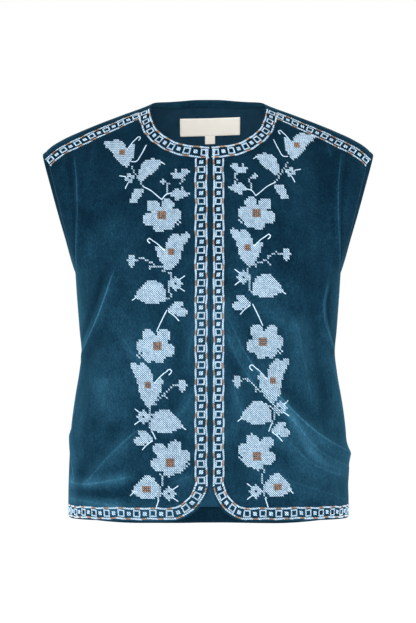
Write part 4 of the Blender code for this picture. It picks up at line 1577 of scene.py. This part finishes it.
# %% Sizes of the border
PERIOD = 0.0226  # one open square, one small square and the gaps between them
OPEN_PITCH = 0.0020  # an open square is a ring of sixteen small crosses
SMALL_PITCH = 0.0027  # a small one is four larger ones
RING = (-2, -1, 0, 1, 2)
RAIL_PITCH = PERIOD / 9
COPPER_SHARE = 0.34  # of each rail, beside every second square
# The neck, the front edge, the hem and the shoulder: from the cut edge to the middle of the band,
# and from there to each rail.
MIDDLES = {"neck": 0.0101, "front": 0.0118, "hem": 0.0103, "shoulder": 0.0094}
SPREADS = {"neck": 0.0073, "front": 0.0069, "hem": 0.0070, "shoulder": 0.0082}
BAND_GAP = 0.0012  # from the band of the neck to the two that start at it


# %% Walking over the cloth
def slopes_at(share, climb):
    """How a point of the smooth front moves with its share and with its climb."""
    step = 1e-3
    by_share = (surface(False, share + step, climb) - surface(False, share - step, climb)) / (2 * step)
    by_climb = (surface(False, share, climb + step) - surface(False, share, climb - step)) / (2 * step)
    return by_share, by_climb


def walk(share, climb, direction, distance, steps=6):
    """Moves places over the front by a distance in metres in a direction in space."""
    for _ in range(steps):
        a, b = slopes_at(share, climb)
        way = direction * (np.asarray(distance) / steps)[..., None]
        aa, bb, ab = (a * a).sum(-1), (b * b).sum(-1), (a * b).sum(-1)
        ra, rb = (a * way).sum(-1), (b * way).sum(-1)
        det = aa * bb - ab * ab
        share = (share + (ra * bb - rb * ab) / det).clip(0.001, 0.999)
        climb = climb + (rb * aa - ra * ab) / det
    return share, climb


def ways_along(share, climb, inner_side):
    """Points of a line on the front, with the directions along it and across it into the panel."""
    points = surface(False, share, climb)
    along = unit(np.gradient(points, axis=0))
    return points, along, unit(np.cross(outward(False, share, climb), along)) * inner_side


def middle_line(share, climb, inner_side, middle, spread):
    """The middle of the band beside a cut edge: its length, places, directions and spread."""
    across = ways_along(share, climb, inner_side)[2]
    share, climb = walk(share, climb, across, np.broadcast_to(middle, share.shape))
    points, along, across = ways_along(share, climb, inner_side)
    return {
        "length": length_along(points),
        "share": share,
        "climb": climb,
        "along": along,
        "across": across,
        "spread": np.broadcast_to(spread, share.shape),
    }


# %% The runs of the border
def neck_run():
    u = 1 - (1 - np.linspace(0.004, 0.9995, 400)) ** 2
    share = NECK_SHARE * u[::-1]
    return middle_line(share, front_top(share), 1, MIDDLES["neck"], SPREADS["neck"])


def shoulder_run():
    share = np.linspace(NECK_SHARE, 0.995, 300)
    return middle_line(share, seam_turn(share), -1, MIDDLES["shoulder"], SPREADS["shoulder"])


def edge_and_hem_run():
    """Down the front edge, round the corner, and along the hem to the side seam."""
    edge_share = 0.001
    top = float(front_top(np.array([0.004]))[0])
    first_turn = math.acos(1 - edge_share * GIRTH_SCALE / CORNER_RADIUS)
    corner_turn = np.linspace(first_turn, math.pi / 2, 80)
    corner_share = (CORNER_RADIUS / GIRTH_SCALE) * (1 - np.cos(corner_turn))
    hem_share = np.linspace(corner_share[-1] + 0.004, 0.997, 260)
    bottom = float(front_bottom(corner_share[:1])[0])
    edge_climb = np.concatenate([np.linspace(top, 0, 60)[:-1], np.linspace(0, bottom, 200)[:-1]])
    share = np.concatenate([np.full(edge_climb.shape, edge_share), corner_share, hem_share])
    climb = np.concatenate([edge_climb, front_bottom(corner_share), front_bottom(hem_share)])
    to_hem = [np.zeros(edge_climb.shape), np.linspace(0, 1, 80), np.ones(hem_share.shape)]
    to_hem = np.concatenate(to_hem)
    middle = MIDDLES["front"] + (MIDDLES["hem"] - MIDDLES["front"]) * to_hem
    spread = SPREADS["front"] + (SPREADS["hem"] - SPREADS["front"]) * to_hem
    return middle_line(share, climb, 1, middle, spread)


def place_on_run(run, at, offset, rail=0):
    """Places on a run at some lengths, moved across the band from its middle by an offset, or to
    the rail on the cut edge's side (-1) or on the other side (1)."""
    read = lambda values: np.interp(at, run["length"], values)
    along_here = unit(np.stack([read(run["along"][:, k]) for k in range(3)], -1))
    across_here = unit(np.stack([read(run["across"][:, k]) for k in range(3)], -1))
    # Handwork: the band wanders by part of a millimetre.
    wander = 0.0004 * np.sin(at * 115 + 1.3) + 0.0003 * np.sin(at * 263 + 0.4 + rail)
    move = offset + rail * read(run["spread"]) + wander
    share, climb = walk(read(run["share"]), read(run["climb"]), across_here, move, 3)
    return share, climb, along_here


def border_cells(run, start, end, first, rail_start):
    """Crosses of one run, as lists of (share, climb, along) for each kind and colour. The squares
    alternate, and first is 0 where the run begins with an open square and 1 with a small one."""
    count = max(1, round((end - start) / (PERIOD / 2)))
    half = (end - start) / count
    squares = {"open": [], "small": []}
    for k in range(count):
        middle = start + (k + 0.5) * half
        if (k + first) % 2 == 0:
            grid = [(a, b) for a in RING for b in RING if max(abs(a), abs(b)) == 2]
            squares["open"] += [(middle + a * OPEN_PITCH, b * OPEN_PITCH) for a, b in grid]
        else:
            corners = [(a, b) for a in (-0.5, 0.5) for b in (-0.5, 0.5)]
            squares["small"] += [(middle + a * SMALL_PITCH, b * SMALL_PITCH) for a, b in corners]
    found = {"open": [], "small": [], "rail_blue": [], "rail_copper": []}
    for kind, spots in squares.items():
        at, offset = np.array(spots).T
        for row in np.unique(offset):
            found[kind].append(place_on_run(run, at[offset == row], row))
    for rail in (-1, 1):
        begin = rail_start if rail < 0 else start
        steps = round((end - begin) / RAIL_PITCH)
        at = begin + (np.arange(steps) + 0.5) * (end - begin) / steps
        open_square = (at - start) / half - 0.5 + first
        phase = (open_square + (0 if rail > 0 else 1)) % 2
        copper = np.minimum(phase, 2 - phase) < COPPER_SHARE
        found["rail_copper"].append(place_on_run(run, at[copper], 0, rail))
        found["rail_blue"].append(place_on_run(run, at[~copper], 0, rail))
    return {kind: [np.concatenate(part) for part in zip(*lists)] for kind, lists in found.items()}


neck, shoulder, edge_and_hem = neck_run(), shoulder_run(), edge_and_hem_run()
under_neck = MIDDLES["neck"] + SPREADS["neck"] + BAND_GAP
# Each with its path, the lengths at which its squares start and end, its first square, and the
# length at which the rail on the cut edge's side starts.
RUNS = (
    ("neck", neck, 0.0035, neck["length"][-1] - 0.001, 0, 0.0035),
    ("shoulder", shoulder, under_neck, shoulder["length"][-1] - 0.003, 0, under_neck),
    ("edge_and_hem", edge_and_hem, under_neck, edge_and_hem["length"][-1] - 0.001, 1, 0.003),
)
for run_name, run, start, end, *_ in RUNS:
    print(run_name, f"{(end - start) * 1000:.0f} mm of border")

# %% Working the border
OPEN_SIZES = {"Length": 0.0015, "Width": 0.0015, "Thickness": 0.0008, "Height": 0.0005}
SMALL_SIZES = {"Length": 0.0023, "Width": 0.0023, "Thickness": 0.00098, "Height": 0.0006}
RAIL_SIZES = {"Length": 0.0021, "Width": 0.0020, "Thickness": 0.00092, "Height": 0.0006}
BORDER_SIZES = {
    "open": OPEN_SIZES,
    "small": SMALL_SIZES,
    "rail_blue": RAIL_SIZES,
    "rail_copper": dict(RAIL_SIZES, Width=0.0017, Thickness=0.00066),
}
border = [border_cells(*row) for _, *row in RUNS]
for side_name, side in SIDES:
    for kind, sizes in BORDER_SIZES.items():
        share, climb, along = (np.concatenate([part[kind][k] for part in border]) for k in range(3))
        here, *axes = frame_at(side, False, share, climb, along * (side, 1, 1))
        name = f"{side_name}_border_{kind}"
        thread = COPPER if kind == "rail_copper" else BLUE
        embroidery[side_name].append(sew(name, CROSS_TREE, here, axes, sizes, thread, 11 + side))

# %% [markdown]
# ## Topstitching
# A row of small running stitches holds the turned edge of each armhole, the back neckline and the
# back hem, and the label is caught down at its two ends. They use the tree's single-leg form, and
# the distance between stitches is even along the cloth.


# %% Rows of running stitches
TOPSTITCH = 0.0034  # from one stitch to the next
NECK_INSET = 0.006  # how far below the back neckline its row lies
GROOVE_LIFT = -0.0004  # the armholes' stitches lie in their groove
SEAM_TURN_KEPT = 0.02  # and start and end this turn short of their seams


def stitched_row(side, back, share, climb, lift=0.0):
    """Even stitches along a path of places, as positions and axes."""
    points, _ = cloth(side, back, share, climb)
    length = length_along(points)
    at = np.arange(TOPSTITCH / 2, length[-1], TOPSTITCH)
    read = lambda values: np.interp(at, length, values)
    along = np.stack([read(column) for column in unit(np.gradient(points, axis=0)).T], -1)
    here, x_axis, y_axis, z_axis = frame_at(side, back, read(share), read(climb), along)
    return here + z_axis * lift, x_axis, y_axis, z_axis


def beside_armhole(back, climb):
    """The shares that lie the topstitch's distance from the armhole edge."""
    low, high = 0.96, 0.999
    near = surface(back, np.full(climb.shape, low), climb)
    edge = surface(back, np.full(climb.shape, high), climb)
    per_share = np.linalg.norm(edge - near, axis=-1) / (high - low)
    return 1 - (TOPSTITCH_INSET + SEAM_SETBACK) / per_share


RUNNING_SIZES = {"Length": 0.0028, "Width": 0.001, "Thickness": 0.0006, "Height": 0.0003}
rows = []
for side in (-1, 1):
    seam = FRONT_SEAM_TURN["tip"]
    for back, end, count in ((False, seam, 160), (True, math.pi - seam, 200)):
        climb = np.linspace(SEAM_TURN_KEPT, end - SEAM_TURN_KEPT, count)
        rows.append(stitched_row(side, back, beside_armhole(back, climb), climb, GROOVE_LIFT))
    share = np.linspace(0.001, 0.995, 200)
    rows.append(stitched_row(side, True, share, back_bottom(share) + HEM_FACING_DEPTH - 0.002))
    share = np.linspace(0.001, NECK_SHARE * 0.97, 120)
    top = back_top(share)
    rows.append(stitched_row(side, True, share, top - turn_down(NECK_INSET, share, top)))
places, *axes = (np.concatenate(part) for part in zip(*rows))
topstitching = sew("topstitching", RUNNING_TREE, places, axes, RUNNING_SIZES, TEAL_THREAD, 5)


# %% Stitches that hold the label
def label_stitches():
    """Small upright stitches down the two ends of the label."""
    inset, count = 0.985, 9
    spots = [
        (end * LABEL_WIDTH * inset, LABEL_DROP + LABEL_HEIGHT * (k + 0.5) / count)
        for end in (-0.5, 0.5)
        for k in range(count)
    ]
    across, drop = np.array(spots).T
    lift = INSIDE - TRIM + LAY_GAP
    here = inside_place(across, drop, lift)
    right = unit(inside_place(across - 0.001, drop, lift) - inside_place(across + 0.001, drop, lift))
    up = inside_place(across, drop - 0.001, lift) - inside_place(across, drop + 0.001, lift)
    away = unit(np.cross(right, up))
    return here, unit(up), np.cross(away, unit(up)), away


places, *axes = label_stitches()
label_thread = sew(
    "label_stitches",
    RUNNING_TREE,
    places,
    axes,
    dict(RUNNING_SIZES, Length=0.0022),
    CREAM_THREAD,
    7,
)

# %% [markdown]
# ## What the cloth was cut to
# Each panel's area is measured from its mesh, as half the surface of its closed wall.


# %% Sheets of cloth
def cut_area(piece):
    """Half the surface of a closed wall of cloth, in square metres."""
    return sum(face.area for face in piece.data.polygons) / 2


for panel, side_name in ((right_front, "right"), (left_front, "left")):
    area = cut_area(panel)
    print(panel.name, f"{area:.4f} square metres")
print(back_panel.name, f"{cut_area(back_panel):.4f} square metres")

# %% [markdown]
# ## Floor, light and camera
# The photograph is a plain studio picture: white all round, soft light from the front, a long lens
# at chest height. The floor is a large pale disc well below the hem. The lamps are big and soft,
# the main one above the camera so that it also reaches the label inside the neck, and the world
# is white to the camera but lights the cloth less than that.

# %% The floor
FLOOR_HEIGHT = -1.35
FLOOR_RADIUS = 20
FLOOR_CORNERS = 96


def make_floor():
    """A large disc of white paper."""
    turns = np.linspace(0, 2 * math.pi, FLOOR_CORNERS + 1)[:-1]
    points = [(FLOOR_RADIUS * math.cos(a), FLOOR_RADIUS * math.sin(a), FLOOR_HEIGHT) for a in turns]
    mesh = bpy.data.meshes.new("studio_floor")
    mesh.from_pydata(points, [], [tuple(range(FLOOR_CORNERS))])
    paper, *_ = new_material(
        "white_paper",
        {
            "Base Color": (0.93, 0.93, 0.93, 1.0),
            "Roughness": 0.95,
            "Emission Color": (1.0, 1.0, 1.0, 1.0),
            "Emission Strength": 0.62,
        },
    )
    mesh.materials.append(paper)
    made = bpy.data.objects.new("studio_floor", mesh)
    bpy.context.scene.collection.objects.link(made)


make_floor()


# %% Lights
def soft_light(name, place, aim, size, power):
    """A large square lamp that points at a spot."""
    lamp = bpy.data.lights.new(name, "AREA")
    lamp.shape, lamp.size, lamp.energy = "SQUARE", size, power
    made = bpy.data.objects.new(name, lamp)
    made.location = place
    away = np.array(place, float) - np.array(aim, float)
    z_axis = unit(away)
    x_axis = unit(np.cross((0, 0, 1.0), z_axis))
    made.rotation_euler = Matrix(np.stack([x_axis, np.cross(z_axis, x_axis), z_axis], -1).tolist()).to_euler()
    bpy.context.scene.collection.objects.link(made)
    return made


soft_light("main", (-0.6, -6.0, 1.2), (0, 0, -0.25), 2.6, 285)
soft_light("left", (-3.2, -2.0, 0.9), (0, 0, -0.3), 1.6, 42)
soft_light("right", (3.2, -2.0, 0.5), (0, 0, -0.3), 1.6, 34)
soft_light("behind", (0.0, 5.0, 1.6), (0, 0, -0.3), 2.6, 130)


def make_world():
    """White to the camera, and dimmer as a light."""
    made = bpy.data.worlds.new("studio")
    made.use_nodes = True
    tree = made.node_tree
    set_inputs(tree.nodes["Background"], {"Color": (1.0, 1.0, 1.0, 1.0), "Strength": 0.42})
    seen = add_node(tree, "ShaderNodeBackground", {"Color": (1.0, 1.0, 1.0, 1.0), "Strength": 1.0})
    path = add_node(tree, "ShaderNodeLightPath")
    choose = add_node(tree, "ShaderNodeMixShader")
    tree.links.new(path.outputs["Is Camera Ray"], choose.inputs["Fac"])
    tree.links.new(tree.nodes["Background"].outputs["Background"], choose.inputs[1])
    tree.links.new(seen.outputs["Background"], choose.inputs[2])
    tree.links.new(choose.outputs["Shader"], tree.nodes["World Output"].inputs["Surface"])
    bpy.context.scene.world = made


make_world()

# %% Camera
CAMERA_PLACE = (0.0, -5.0, -0.25)
CAMERA_AIM = (0.0, 0.0, -0.29)
FRAME_HEIGHT = 623 * 0.0014  # the photograph is 1.4 mm to a pixel
SENSOR_HEIGHT = 24.0
distance = CAMERA_AIM[1] - CAMERA_PLACE[1]
camera_data = bpy.data.cameras.new("camera")
camera_data.sensor_fit = "VERTICAL"
camera_data.sensor_height = SENSOR_HEIGHT
camera_data.lens = SENSOR_HEIGHT * distance / FRAME_HEIGHT
camera = bpy.data.objects.new("camera", camera_data)
camera.location = CAMERA_PLACE
drop = CAMERA_AIM[2] - CAMERA_PLACE[2]
camera.rotation_euler = (math.pi / 2 + math.atan2(drop, distance), 0.0, 0.0)
bpy.context.scene.collection.objects.link(camera)
bpy.context.scene.camera = camera
print(f"lens {camera_data.lens:.0f} mm")
